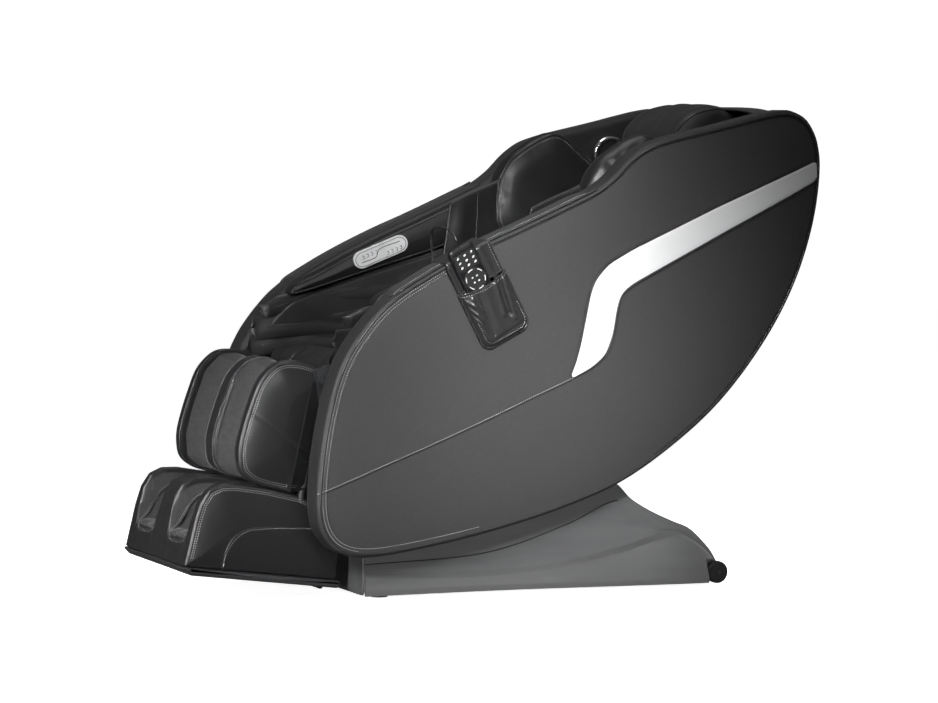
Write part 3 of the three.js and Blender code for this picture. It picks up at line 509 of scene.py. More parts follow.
def lathe_x(name, profile, center, mat, segments=48):
    """A solid of revolution about an axis along X; profile is (radius, x) pairs, ending on the axis."""
    angles = full_turn(segments)
    circle = np.stack([np.cos(angles), np.sin(angles)], axis=1)
    rings = [at_x(x, np.array(center) + radius * circle) for radius, x in profile]
    return closed_loft(name, rings, mat, flip=profile[-1][1] < profile[0][1])


def apply_modifiers(obj):
    depsgraph = bpy.context.evaluated_depsgraph_get()
    mesh = bpy.data.meshes.new_from_object(obj.evaluated_get(depsgraph))
    obj.modifiers.clear()
    obj.data = mesh
    mesh.polygons.foreach_set("use_smooth", [True] * len(mesh.polygons))


def move_vertices(obj, shift):
    """Moves each vertex along its normal by shift(position)."""
    mesh = obj.data
    normals = [n.vector.copy() for n in mesh.vertex_normals]
    for vertex, normal in zip(mesh.vertices, normals):
        vertex.co += normal * shift(vertex.co)


def folds(height, scale, seed=0.0, stretch=(1, 1, 1), mask=None):
    """Soft leather folds: ridged noise, stretched along one way and faded by a mask."""

    def shift(co):
        at = Vector((co.x * stretch[0] + seed, co.y * stretch[1], co.z * stretch[2] - seed)) * scale
        value = 1 - abs(noise.noise(at)) * 2 + 0.35 * noise.noise(at * 2.3)
        amount = height * (value - 0.6)
        return amount * (mask(co) if mask else 1)

    return shift


def puff(obj, pressure=4.0, limit=0.008, voxel=0.006, frames=16, wrinkle=15.0):
    """Inflates a padded piece with a short cloth simulation, never moving a point by more than limit."""
    remesh = obj.modifiers.new("remesh", "REMESH")
    remesh.mode = "VOXEL"
    remesh.voxel_size = voxel
    apply_modifiers(obj)
    rest = np.array([v.co for v in obj.data.vertices])
    cloth = obj.modifiers.new("cloth", "CLOTH")
    settings = cloth.settings
    settings.quality = 4
    settings.mass = 0.4
    settings.tension_stiffness = settings.compression_stiffness = wrinkle
    settings.shear_stiffness = wrinkle / 2
    settings.bending_stiffness = 1.5
    settings.use_pressure = True
    settings.uniform_pressure_force = pressure
    settings.effector_weights.gravity = 0
    cloth.collision_settings.use_self_collision = False
    scene = bpy.context.scene
    for number in range(1, frames + 1):
        scene.frame_set(number)
    material_used = obj.data.materials[0]
    apply_modifiers(obj)
    scene.frame_set(1)
    now = np.array([v.co for v in obj.data.vertices])
    move = now - rest
    size = np.linalg.norm(move, axis=1)[:, None] + 1e-9
    now = rest + move * np.minimum(1, limit / size)
    for vertex, co in zip(obj.data.vertices, now):
        vertex.co = co
    soften = obj.modifiers.new("soften", "SMOOTH")
    soften.factor = 0.5
    soften.iterations = 7
    apply_modifiers(obj)
    obj.data.materials.clear()
    obj.data.materials.append(material_used)
    return obj


def fit(obj, body, slot, *nodes):
    """Puts a finished piece on its body; it replaces the CAD nodes it stands for. The slot is not used."""
    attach(obj, body)
    if nodes:
        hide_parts(*nodes)
    return obj


def finish_pair(pieces, node, slot, body="seat"):
    """Fits each left-hand piece and its mirror image; the first of them stands for the CAD node's pair.
    """
    for piece in pieces:
        twin = mirrored(piece, piece.name.replace("_left", "_right"))
        nodes = [(f"{node}_left",), (f"{node}_right",)] if node and piece is pieces[0] else [(), ()]
        fit(piece, body, slot, *nodes[0])
        fit(twin, body, slot, *nodes[1])


def border(outline, x, depth=0.0, count=None):
    """The 3-D closed path that runs round an outline at one x, a distance in from its edge."""
    loop = inset(outline, depth) if depth else outline
    if count:
        loop = spread(loop, count)
    return at_x(x, loop)


def stretch_of(path, keep):
    """The part of a closed 3-D path whose (y, z) points pass a test, as one open path in running order."""
    inside = np.array([bool(keep(y, z)) for _, y, z in path])
    start = next(i for i in range(len(path)) if inside[i] and not inside[i - 1])
    rolled = np.roll(path, -start, axis=0)
    flags = np.roll(inside, -start)
    end = next((i for i in range(len(flags)) if not flags[i]), len(flags))
    return rolled[:end]


def lerp(a, b, t):
    """The value a share t of the way from a to b."""
    return a + (b - a) * t


def smooth(t):
    """A smooth step from 0 to 1 as t goes from 0 to 1."""
    t = np.clip(t, 0, 1)
    return t * t * (3 - 2 * t)


class Place:
    """A (y, z) frame of one of the chair's tilted groups: local z runs up it, local -y points forward."""

    def __init__(self, origin, degrees):
        self.origin = np.array(origin, float)
        turn = math.radians(degrees)
        self.turn = np.array([[math.cos(turn), math.sin(turn)], [-math.sin(turn), math.cos(turn)]])

    def __call__(self, points):
        """Local (y, z) or (x, y, z) points as the chair's own."""
        points = np.asarray(points, float)
        if points.shape[-1] == 2:
            return self.origin + points @ self.turn
        return np.concatenate([points[..., :1], self.origin + points[..., 1:] @ self.turn], axis=-1)

    def local(self, points):
        return (np.asarray(points, float) - self.origin) @ self.turn.T


def surface(obj):
    """Ray casts onto a finished piece."""
    depsgraph = bpy.context.evaluated_depsgraph_get()
    return BVHTree.FromObject(obj, depsgraph)


def lay_on(tree, path, lift=0.0, toward=(-1, 0, 0)):
    """Drops each point of a path onto a surface along one direction, then lifts it off by a little."""
    ray = Vector(toward)
    out = []
    for point in path:
        hit, normal, _, _ = tree.ray_cast(Vector(point) - ray * 0.5, ray)
        if hit is None:
            hit, normal, _, _ = tree.find_nearest(Vector(point))
        if normal.dot(ray) > 0:
            normal = -normal
        out.append(hit + normal * lift)
    return np.array(out)


def nearest(tree, points):
    """Each point's nearest place on a surface."""
    return np.array([tree.find_nearest(Vector(point))[0] for point in points])


def ahead_of(place, limit):
    """A test for the (y, z) points that lie forward of a limit in a tilted group's frame."""
    return lambda y, z: place.local((y, z))[0] < limit


def paint(obj, mat, test):
    """Gives a second material to the faces whose middle passes a test."""
    obj.data.materials.append(MAT[mat])
    index = len(obj.data.materials) - 1
    for polygon in obj.data.polygons:
        if test(polygon.center):
            polygon.material_index = index


def grid(name, rows, mat, thickness=0.0, offset=-1.0):
    """A sheet through rows of equal length, thickened to one side where asked."""
    vertices, faces = skin(rows, closed=False)
    obj = new_mesh(name, vertices, faces, mat)
    if thickness:
        solid = obj.modifiers.new("thickness", "SOLIDIFY")
        solid.thickness = thickness
        solid.offset = offset
        apply_modifiers(obj)
    return obj


def kd_tree(points):
    tree = KDTree(len(points))
    for i, point in enumerate(points):
        tree.insert(Vector(point), i)
    tree.balance()
    return tree


def groove(obj, paths, depth, width):
    """Presses sewn lines into a piece: its points near a path sink along their normals."""
    tree = kd_tree(np.vstack(paths))
    move_vertices(obj, lambda co: -depth * math.exp(-((tree.find(co)[2] / width) ** 2)))


def round_corners(points, radius, count):
    """A closed (y, z) polygon with rounded corners, evenly spaced."""
    points = np.asarray(points, float)
    out = []
    for i, corner in enumerate(points):
        before, after = points[i - 1], points[(i + 1) % len(points)]
        reach = min(radius, 0.45 * np.linalg.norm(before - corner), 0.45 * np.linalg.norm(after - corner))
        a = corner + (before - corner) / np.linalg.norm(before - corner) * reach
        b = corner + (after - corner) / np.linalg.norm(after - corner) * reach
        for t in np.linspace(0, 1, 7):
            out.append((1 - t) ** 2 * a + 2 * t * (1 - t) * corner + t * t * b)
    return spread(out, count)


def staged(stages):
    """A closed outline from (points, count) stages, so that two outlines can share their numbering."""
    return np.vstack([spread(points, count + 1, closed=False)[:-1] for points, count in stages])


JOINT = {joint["name"]: joint for joint in frame["joints"]}


def tilt_of(axis, sign):
    """The tilt of a group whose local z is an axis of a joint, or its opposite."""
    return math.degrees(math.atan2(-sign * axis[1], sign * axis[2]))


BACK = Place((0.150, 0.415), tilt_of(JOINT["carriage_travel"]["axis"], 1))
CALF = Place(JOINT["calf_lift"]["pos_m"][1:], tilt_of(JOINT["foot_extend"]["axis"], -1))
FOOT = Place((-0.358, 0.019), -7.3)
POCKET = Place((-0.1005, 0.663), 27.1)


# ---------------------------------------------------------------- camera, floor and light


def make_camera():
    data = bpy.data.cameras.new("camera")
    data.lens = 150
    data.clip_end = 60
    camera = bpy.data.objects.new("camera", data)
    bpy.context.scene.collection.objects.link(camera)
    turn, lift, distance = math.radians(22.3), math.radians(3.75), 8.5
    target = Vector((0, 0.024, 0.494))
    away = Vector((math.cos(lift) * math.cos(turn), -math.cos(lift) * math.sin(turn), math.sin(lift)))
    camera.location = target + away * distance
    camera.rotation_euler = (-away).to_track_quat("-Z", "Y").to_euler()
    bpy.context.scene.camera = camera


def softbox(name, place, aim, size, watts, spread=180, shines=True, lights=True):
    """A rectangular light; a spread under 180 degrees narrows its beam.

    One that doesn't shine makes no glare, and one that doesn't light makes only glare.
    """
    data = bpy.data.lights.new(name, "AREA")
    data.spread = math.radians(spread)
    data.shape = "RECTANGLE"
    data.size, data.size_y = size
    data.energy = watts
    light = bpy.data.objects.new(name, data)
    light.location = place
    light.visible_glossy = shines
    light.visible_diffuse = lights
    light.rotation_euler = (Vector(aim) - Vector(place)).to_track_quat("-Z", "Y").to_euler()
    bpy.context.scene.collection.objects.link(light)


def glow(mat, strength):
    shade(mat, **{"Emission Color": (1, 1, 1, 1), "Emission Strength": strength})


def make_stage():
    """A pale floor and a bright backdrop far behind the chair, with softboxes in front, above and behind."""
    square = [(-30, -30, 0), (30, -30, 0), (30, 30, 0), (-30, 30, 0)]
    floor = new_mesh("floor", square, [(0, 1, 2, 3)], "floor")
    corners = [(-14, -12, -1), (-14, 24, -1), (-14, 24, 6), (-14, -12, 6)]
    backdrop = new_mesh("backdrop", corners, [(0, 1, 2, 3)], "backdrop")
    world = bpy.data.worlds.new("studio")
    bpy.context.scene.world = world
    world.use_nodes = True
    world.node_tree.nodes["Background"].inputs["Color"].default_value = (1, 1, 1, 1)
    world.node_tree.nodes["Background"].inputs["Strength"].default_value = 0.085
    bpy.context.scene.view_settings.view_transform = "Standard"
    for piece in (floor, backdrop):
        piece.visible_diffuse = False
        piece.visible_glossy = False
    softbox("key", (2.2, -0.70, 1.5), (0.37, 0.03, 0.56), (0.5, 0.8), 3.0, 26)
    softbox("legs", (1.9, -2.5, 1.5), (0.16, -0.66, 0.24), (0.7, 0.7), 1.9, 15)
    softbox("low", (2.6, -0.2, 0.30), (0.3, 0.08, 0.10), (0.9, 0.2), 1.5, 40, shines=False)
    softbox("front", (1.45, -3.3, 0.9), (0.08, -0.62, 0.32), (0.6, 1.3), 1.0, 24)
    softbox("strip", (2.15, -2.7, 0.45), (0.2, -0.62, 0.3), (0.5, 1.2), 3.0, 36, lights=False)
    softbox("top", (0.3, 0.0, 3.2), (0, 0.0, 0.6), (1.0, 2.2), 17)
    softbox("far_side", (-3.2, 0.2, 1.6), (-0.37, 0.05, 0.5), (1.2, 1.2), 15, 64, shines=False)
    softbox("rear", (-0.6, 3.3, 1.6), (0, 0.5, 0.55), (1.2, 1.2), 13, 50, shines=False)


# ---------------------------------------------------------------- the remote's lead

LEAD_DIAMETER = 0.005
LEAD_ROUTE = [
    (0.2162, 0.028, 0.752), (0.210, 0.028, 0.751), (0.206, 0.027, 0.738), (0.208, 0.026, 0.712),
    (0.212, 0.022, 0.678), (0.216, 0.017, 0.642), (0.219, 0.009, 0.606), (0.221, -0.002, 0.572),
    (0.222, -0.016, 0.540), (0.223, -0.034, 0.514), (0.223, -0.057, 0.500), (0.223, -0.082, 0.500),
    (0.223, -0.104, 0.513), (0.223, -0.119, 0.540), (0.223, -0.130, 0.574), (0.223, -0.138, 0.610),
    (0.223, -0.143, 0.648), (0.223, -0.148, 0.686), (0.224, -0.151, 0.716), (0.227, -0.154, 0.740),
    (0.235, -0.158, 0.757), (0.248, -0.161, 0.767), (0.272, -0.165, 0.774), (0.300, -0.167, 0.777),
    (0.330, -0.167, 0.776), (0.354, -0.165, 0.771), (0.370, -0.162, 0.763), (0.3756, -0.159, 0.753),
    (0.376, -0.1574, 0.7486),
]


def make_lead():
    """The lead from the arm's inner side over the armrest to the remote, with a tapered gland at its exit."""
    path = curve(LEAD_ROUTE, 260)
    lead = fit(tube("lead", path, LEAD_DIAMETER / 2, "cord", sides=12), "seat", "cord", "remote_lead")
    start, end = LEAD_ROUTE[0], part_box("lead_gland")[1].x
    steps = np.linspace(0, 1, 40)
    collars = 1 + 0.16 * (np.sin(steps * 34) > 0.2)
    radii = lerp(0.0072, 0.0034, smooth(steps * 1.1 - 0.1)) * collars
    line = np.array([(lerp(end, start[0] + 0.0004, t), start[1], start[2]) for t in steps])
    gland = fit(tube("lead_gland_sleeve", line, radii, "rubber", sides=20), "seat", "rubber", "lead_gland")


# ---------------------------------------------------------------- side shells

FACE_SEAM = [
    (0.108, 0.454), (0.030, 0.422), (-0.056, 0.386), (-0.191, 0.332), (-0.330, 0.279), (-0.455, 0.230),
]


def make_shells():
    """The big side panels: a crowned leather face, a piped rim, a double-sewn front edge and a sewn seam."""
    outline = cad_outline("side_panel_left", 300, 2)
    low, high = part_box("side_panel_left")
    face_x = high.x - 0.0125
    slices = rounded_slices(low.x, face_x, 0.016, 0.009, steps=8)
    shell = loft_x("side_shell_left", outline, slices, "top", crown=(0.0, 0.0115), soft=0.055, steps=30)
    paint(shell, "panel", lambda co: co.x > face_x - 0.001)
    tree = surface(shell)
    rim = lay_on(tree, border(outline, face_x, 0.0080), 0.0015)
    details = [tube("shell_piping_left", rim, 0.0021, "piping", closed=True)]
    for k, depth in enumerate((0.0125, 0.0185)):
        row = stretch_of(border(outline, face_x, depth, 500), lambda y, z: y < -0.1 and 0.112 < z < 0.70)
        sewn = lay_on(tree, row, 0.0003)
        details.append(stitches(f"shell_front_stitches_{k}_left", sewn, closed=False, radius=0.0007))
        ridge = lay_on(tree, row + (0, 0.003 if k else -0.003, 0))
        details.append(tube(f"shell_front_fold_{k}_left", ridge, 0.0007, "piping"))
    # A near-black tube along the top seam is painted shade, standing for the shadow in the seam's crease.
    top = stretch_of(border(outline, face_x, 0.0125, 700), lambda y, z: z > 0.70 or y > 0.3)
    details.append(tube("shell_top_seam_left", lay_on(tree, top), 0.0011, "dark_thread_and_seam_shade"))
    # A near-black tube along the seam is painted shade, standing for the shadow in the seam's crease.
    seam = at_x(0.36, curve(FACE_SEAM, 200))
    details.append(tube("shell_seam_left", lay_on(tree, seam), 0.0011, "dark_thread_and_seam_shade"))
    sewn = lay_on(tree, seam + (0, 0.001, 0.0042), 0.0003)
    details.append(stitches("shell_seam_stitches_left", sewn, closed=False, radius=0.0007))
    finish_pair([shell], "side_panel", "side_leather")
    finish_pair(details, None, "side_leather")
    return tree, outline


def make_stripes(tree):
    """The silver stripes, laid on the crowned panels, with a sewn edge above and dark piping below, its black
    partly a painted shadow.
    """
    loop = cad_outline("trim_stripe_left", 600, 1)
    y, z = loop.T
    tip = int(np.argmin(z))
    upper_end = (int(np.argmax(y + z)) - tip) % len(loop)
    lower_end = (int(np.argmax(y - 0.4 * z + (z > 0.84))) - tip) % len(loop)
    loop = np.roll(loop, -tip, axis=0)
    lower = spread(loop[: lower_end + 1], 150, closed=False)
    upper = spread(np.vstack([loop[upper_end:], loop[:1]])[::-1], 150, closed=False)

    def laid(line, lift):
        return lay_on(tree, at_x(0.37, line), lift)

    lifts = [-0.001] + [0.0011] * 9 + [-0.001]
    rows = [laid(lerp(lower, upper, t), lift) for t, lift in zip(np.linspace(0, 1, 11), lifts)]
    stripe = grid("stripe_left", rows, "silver")
    above = laid(upper + outward_open(upper) * 0.0035, 0.0004)
    below = laid(lower - outward_open(lower) * 0.0012, 0.0005)
    details = [
        stitches("stripe_stitches_left", above, "dark_thread_and_seam_shade", 0.0075, 0.6, 0.0009, False),
        # The piping under the stripe is real, but its black also paints the shadow under the stripe's lower
        # edge.
        tube("stripe_piping_left", below, 0.0017, "black"),
        tube("stripe_edge_left", laid(upper, 0.0003), 0.0009, "piping"),
    ]
    finish_pair([stripe], "trim_stripe", "silver_trim")
    finish_pair(details, None, "side_leather")


# ---------------------------------------------------------------- arms


def make_arm_caps(outline):
    """Padded strips along the armrests' tops, with a rounded front end and piping along their outer edge."""
    top = stretch_of(border(outline, 0, 0, 900), lambda y, z: z > 0.632 and -0.31 < y < 0.17)[:, 1:]
    line = spread(top, 120, closed=False)
    if line[0, 1] > line[-1, 1]:
        line = line[::-1]
    out = outward_open(line)
    inner, outer, height = 0.286, 0.3515, 0.0065
    middle, half = (inner + outer) / 2, (outer - inner) / 2
    from_front = np.linalg.norm(line - line[0], axis=1)
    from_rear = np.linalg.norm(line - line[-1], axis=1)
    rounding = np.sqrt(np.clip(1 - (1 - np.clip(from_front / 0.03, 0, 1)) ** 2, 0, 1))
    width = lerp(0.25, 1, rounding)
    fade = smooth(from_front / 0.02) * smooth(from_rear / 0.05)
    rows = []
    for u in np.linspace(-1, 1, 17):
        lift = height * (1 - abs(u) ** 5) * fade - 0.0015
        rows.append(at_x(middle + half * (u * width + 0.3 * (1 - width)), line + out * lift[:, None]))
    cap_pad = grid("arm_cap_left", rows[::-1], "panel")
    edge = tube("arm_cap_piping_left", rows[-1] + (0.0005, 0, 0.0022), 0.0019, "piping")
    seam = stitches("arm_cap_stitches_left", rows[-3] + (0, 0, 0.0002), closed=False)
    finish_pair([cap_pad, edge, seam], None, "side_leather")


def make_arm_pads():
    """The pads on the arms' inner sides, each with a plain silver badge plate."""
    outline = cad_outline("arm_pad_left", 280, 3)
    low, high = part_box("arm_pad_left")
    face_x = low.x + 0.0095
    slices = rounded_slices(high.x, face_x, 0.002, 0.005, steps=8)
    pad = loft_x("arm_pad_left", outline, slices, "gloss", crown=(0, 0.0095), soft=0.013, steps=20)
    tree = surface(pad)
    rim = lay_on(tree, border(outline, face_x, 0.0035), 0.0004, INWARD)
    piping = tube("arm_pad_piping_left", rim, 0.0018, "piping", closed=True)
    across = at_x(face_x, curve([(0.068, 0.796), (0.084, 0.76), (0.094, 0.724)], 40))
    seam = tube("arm_pad_seam_left", lay_on(tree, across, 0.0002, INWARD), 0.0011, "piping")
    finish_pair([pad], "arm_pad", "pad_leather")
    finish_pair([piping, seam, *arm_lining()], None, "pad_leather")
    make_badges(tree)


def arm_lining():
    """The smooth leather between the arm pad and the shoulder wing, with a sewn upright seam."""
    top = curve([(0.072, 0.812), (0.12, 0.834), (0.18, 0.858), (0.27, 0.905)], 60)
    low = curve([(0.046, 0.640), (0.11, 0.640), (0.20, 0.650), (0.28, 0.680)], 60)
    bow = 0.002 + 0.006 * np.exp(-((np.arange(60) - 9) / 7.0) ** 2)
    rows = []
    for t in np.linspace(0, 1, 24):
        rows.append(at_x(0.2305 - bow * math.sin(math.pi * t), lerp(low, top, t)))
    lining = grid("arm_lining_left", rows, "gloss", 0.003, offset=-1)
    upright = lay_on(surface(lining), [row[20] for row in rows[1:-1]], 0.0, INWARD)
    return [lining, tube("arm_lining_seam_left", upright, 0.0011, "piping")]


def make_badges(tree):
    """The badge plates: a pill with a thin frame, a wave line and slanted marks, none of them letters."""
    place = Place((-0.092, 0.704), 21)
    half, radius = 0.048, 0.0195
    turns = full_turn(96)
    pill = np.stack([radius * np.cos(turns) + half * np.sign(np.cos(turns)), radius * np.sin(turns)], axis=1)
    face = lay_on(tree, [(0.23, *place.origin)], 0, INWARD)[0, 0]
    slices = [(face + 0.004, 0), (face - 0.0022, 0), (face - 0.003, 0.0005), (face - 0.0032, 0.0014)]
    pieces = [loft_x("badge_left", place(pill), slices, "badge", crown=(0, 0.0008), soft=0.006, steps=8)]
    ring = at_x(face - 0.0036, place(pill * (0.93, 0.80)))
    pieces.append(tube("badge_frame_left", ring, 0.0007, "badge_mark", closed=True, sides=6))

    def mark(name, points, thickness):
        line = at_x(face - 0.0039, place(curve(points, 24)))
        pieces.append(tube(name, line, thickness, "badge_mark", sides=6))

    mark("badge_wave_left", [(-0.050, -0.006), (-0.014, -0.006), (-0.004, 0.006), (0.050, 0.006)], 0.0009)
    for k in range(4):
        for row, start, z in (("a", -0.046, 0.001), ("b", 0.012, -0.011)):
            y = start + 0.011 * k
            slant = [(y, z), (y + 0.0035, z), (y + 0.0045, z + 0.006), (y + 0.001, z + 0.006)]
            mark(f"badge_mark_{k}{row}_left", slant, 0.0007)
    finish_pair(pieces, None, "silver_trim")


def pod(name, line, widths, thickness, x, mat, lean=0.0):
    """A flat leaf-shaped airbag along a (y, z) line, its face towards the seat."""
    path = curve(line, 60)
    side = outward_open(path)
    steps = np.linspace(0, 1, 60)
    to_end = np.minimum(steps, 1 - steps)
    half_width = np.interp(steps, np.linspace(0, 1, len(widths)), widths) / 2
    half_width *= np.sqrt(np.clip(to_end / 0.012, 0.01, 1))
    half_depth = thickness / 2 * np.clip(smooth(to_end / 0.14), 0.02, 1)
    angles = full_turn(28)
    wide, deep = bent(np.sin(angles), 0.8), bent(np.cos(angles), 1.2)
    rings = []
    for center, away, reach, depth in zip(path, side, half_width, half_depth):
        across = wide * reach
        rings.append(at_x(x + deep * depth + across * lean, center + across[:, None] * away))
    return closed_loft(name, rings, mat, flip=True)


# Each leaf of the hip airbags: its (y, z) line, its widths along it, its thickness, how far it is shifted
# away from the seat and how much it leans.
HIP_LEAVES = [
    ([(0.13, 0.706), (0.02, 0.668), (-0.10, 0.632), (-0.262, 0.600)],
     [0.080, 0.086, 0.066, 0.014], 0.014, 0.010, -0.16),
    ([(0.17, 0.650), (0.03, 0.607), (-0.10, 0.582), (-0.255, 0.555)],
     [0.080, 0.078, 0.056, 0.012], 0.014, 0.008, -0.18),
    ([(0.16, 0.596), (0.00, 0.562), (-0.20, 0.555), (-0.388, 0.538)],
     [0.084, 0.072, 0.060, 0.050], 0.014, 0.009, -0.20),
    ([(0.12, 0.536), (-0.05, 0.520), (-0.20, 0.516), (-0.396, 0.500)],
     [0.070, 0.062, 0.052, 0.046], 0.014, 0.009, -0.18),
    ([(-0.225, 0.612), (-0.27, 0.602), (-0.31, 0.591), (-0.364, 0.574)],
     [0.014, 0.034, 0.044, 0.032], 0.012, 0.013, -0.16),
]


def make_hip_airbags():
    """The airbags beside the hips: a leather pad with overlapping leaves that stand out of it."""
    outline = cad_outline("hip_airbag_left", 280, 4)
    low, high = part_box("hip_airbag_left")
    slices = rounded_slices(high.x, low.x + 0.021, 0.003, 0.012)
    pad = loft_x("hip_airbag_left", outline, slices, "gloss", crown=(0, 0.004))
    leaves, seams = [], []
    for k, (line, widths, thickness, back, lean) in enumerate(HIP_LEAVES):
        leaf = pod(f"hip_leaf_{k}_left", line, widths, thickness, low.x + 0.0165 + back, "gloss", lean)
        move_vertices(leaf, folds(0.0011, 26, seed=k * 3.1, stretch=(1, 0.5, 1.6)))
        leaves.append(leaf)
        path = at_x(low.x - 0.002 + back, curve(line, 80))[5:-5]
        seam = lay_on(surface(leaf), path, 0.0, INWARD)
        seams.append(tube(f"hip_leaf_seam_{k}_left", seam, 0.0008, "piping"))
    finish_pair([pad], "hip_airbag", "pad_leather")
    finish_pair(leaves, None, "pad_leather")
    finish_pair(seams, None, "pad_leather")


def make_wings():
    """The shoulder wings: plump leather pads with a piped and sewn rim."""
    outline = cad_outline("shoulder_wing_left", 300, 6)
    low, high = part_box("shoulder_wing_left")
    inner_x, outer_x = low.x + 0.016, high.x - 0.004
    slices = rounded_slices(outer_x, inner_x, 0.016, 0.011, steps=9, middle=5)
    wing = loft_x("shoulder_wing_left", outline, slices, "gloss", crown=(0.004, 0.014), soft=0.030, steps=20)
    wing = puff(wing, limit=0.004, voxel=0.005)
    move_vertices(wing, folds(0.0008, 13, seed=4.2, stretch=(1.5, 1, 1)))
    tree = surface(wing)
    rim = relax(lay_on(tree, border(outline, inner_x, 0.0075), 0.0006, INWARD), 3)
    piping = tube("wing_piping_left", rim, 0.0023, "piping", closed=True)
    second = relax(lay_on(tree, border(outline, inner_x, 0.0135), 0.0004, INWARD), 3)
    sewn = stitches("wing_stitches_left", second)
    finish_pair([wing], "shoulder_wing", "pad_leather")
    finish_pair([piping, sewn], None, "pad_leather")


def make_speakers():
    """Round speakers beside the head: a chrome ring around a domed cloth grille."""
    low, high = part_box("speaker_left")
    center = ((low.y + high.y) / 2, (low.z + high.z) / 2)
    radius = (high.y - low.y) / 2
    steps = [(0, high.x - low.x - 0.001), (0, 0.006), (0.002, 0.002), (0.006, 0.0), (0.010, 0.001),
             (0.0125, 0.004), (0.013, 0.008)]
    profile = [(radius - inward, low.x + height) for inward, height in steps]
    ring = lathe_x("speaker_left", profile, center, "chrome", 72)
    bowl = [(radius - 0.0128, low.x + 0.009)]
    for a in np.linspace(0.1, 1.5, 9):
        bowl.append(((radius - 0.013) * math.cos(a), low.x + 0.0075 - 0.0055 * math.sin(a)))
    grille = lathe_x("speaker_grille_left", bowl, center, "grille", 72)
    finish_pair([ring], "speaker", "chrome")
    finish_pair([grille], None, "chrome")


# ---------------------------------------------------------------- seat, back and pillow


def make_seat():
    """The seat cushion: a crowned pad with a sewn middle panel and two cross seams."""
    outline = cad_outline("seat_cushion", 240, 3)
    low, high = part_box("seat_cushion")
    slices = rounded_slices(low.x + 0.002, high.x - 0.002, 0.022, 0.022, middle=26)
    pad = loft_x("seat_cushion", outline, slices, "gloss", crown=(0.002, 0.002), steps=10)
    pad = puff(pad, limit=0.014, voxel=0.0065)
    panel, above = 0.108, 0.6
    rows = [np.array([(x, y, above) for y in np.linspace(-0.355, 0.13, 120)]) for x in (-panel, panel)]
    for y in (-0.215, -0.05):
        across = np.linspace(-panel, panel, 60)
        rows.append(np.array([(x, y + 0.02 * math.cos(x * 9), above) for x in across]))
    tree = surface(pad)
    groove(pad, [lay_on(tree, row, 0.0, DOWN) for row in rows], 0.0065, 0.011)
    move_vertices(pad, folds(0.0010, 15, seed=2.0, stretch=(1, 1.4, 1)))
    tree = surface(pad)
    fit(pad, "seat", "pad_leather", "seat_cushion")
    for k, row in enumerate(rows):
        fit(tube(f"seat_seam_{k}", lay_on(tree, row, 0.0, DOWN), 0.0013, "piping"), "seat", "pad_leather")
        beside = row + ((0.005, 0, 0) if k < 2 else (0, 0.005, 0))
        sewn = stitches(f"seat_stitches_{k}", lay_on(tree, beside, 0.0002, DOWN), closed=False)
        fit(sewn, "seat", "pad_leather")


def make_seat_gusset():
    """The leather sheet that closes the gap between the cushion's rear and the backrest."""
    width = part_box("hip_airbag_left")[1].x
    fold = curve([(0.085, 0.462), (0.130, 0.445), (0.160, 0.438), (0.190, 0.444), (0.225, 0.462)], 40)
    rows = [at_x(x, fold) for x in np.linspace(-width, width, 60)]
    gusset = grid("seat_gusset", rows, "top", 0.003, offset=0)
    move_vertices(gusset, folds(0.0015, 18, seed=9.0))
    fit(gusset, "seat", "pad_leather")


def make_back():
    """The backrest pad: a middle panel between two side bolsters, with sewn cross channels."""
    outline = cad_outline("backrest_pad", 240, 3)
    low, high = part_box("backrest_pad")
    slices = rounded_slices(low.x + 0.003, high.x - 0.003, 0.02, 0.02, middle=30)
    pad = loft_x("backrest_pad", outline, slices, "gloss", crown=(0.002, 0.002), steps=10)
    pad = puff(pad, limit=0.010, voxel=0.0065)
    rearward = (0, *(BACK((1.0, 0.0)) - BACK.origin))
    panel, before = 0.125, -0.05
    rows = [BACK([(x, before, z) for z in np.linspace(0.05, 0.72, 160)]) for x in (-panel, panel)]
    for z in (0.13, 0.25, 0.37, 0.49):
        across = np.linspace(-panel, panel, 60)
        rows.append(BACK([(x, before, z + 0.012 * math.cos(x * 12)) for x in across]))
    tree = surface(pad)
    groove(pad, [lay_on(tree, row, 0.0, rearward) for row in rows], 0.007, 0.012)
    move_vertices(pad, folds(0.0010, 14, seed=6.0))
    # The swollen pad keeps clear of the massage rollers behind it.
    rear = BACK.local(outline)[:, 0].max() - 0.003
    for vertex in pad.data.vertices:
        y, z = BACK.local((vertex.co.y, vertex.co.z))
        if y > rear:
            vertex.co.yz = BACK((rear, z))
    tree = surface(pad)
    fit(pad, "seat", "pad_leather", "backrest_pad")
    for k, row in enumerate(rows):
        seam = tube(f"back_seam_{k}", lay_on(tree, row, 0.0, rearward), 0.0013, "piping")
        fit(seam, "seat", "pad_leather")


def make_pillow():
    """The head pillow, piped round its two ends."""
    outline = cad_outline("headrest_pillow", 260, 8)
    upper = smooth((outline[:, 1] - 0.90) / 0.12)[:, None]
    outline = outline + upper * (0.010, -0.020)
    low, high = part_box("headrest_pillow")
    slices = rounded_slices(low.x + 0.004, high.x - 0.004, 0.034, 0.034, steps=9, middle=18)
    pillow = loft_x("headrest_pillow", outline, slices, "top", crown=(0.010, 0.010), soft=0.04)
    pillow = puff(pillow, limit=0.008, voxel=0.006)
    move_vertices(pillow, folds(0.0016, 11, seed=1.3, stretch=(1.2, 1, 1)))
    tree = surface(pillow)
    fit(pillow, "headrest", "pad_leather", "headrest_pillow")
    for side, sign in SIDES:
        ring = border(outline, sign * (high.x - 0.016), 0.010)
        middle = ring.mean(axis=0)
        line = relax(nearest(tree, middle + (ring - middle) * 1.12), 4)
        fit(tube(f"pillow_piping_{side}", line, 0.0022, "piping", closed=True), "headrest", "pad_leather")


# ---------------------------------------------------------------- calf rest


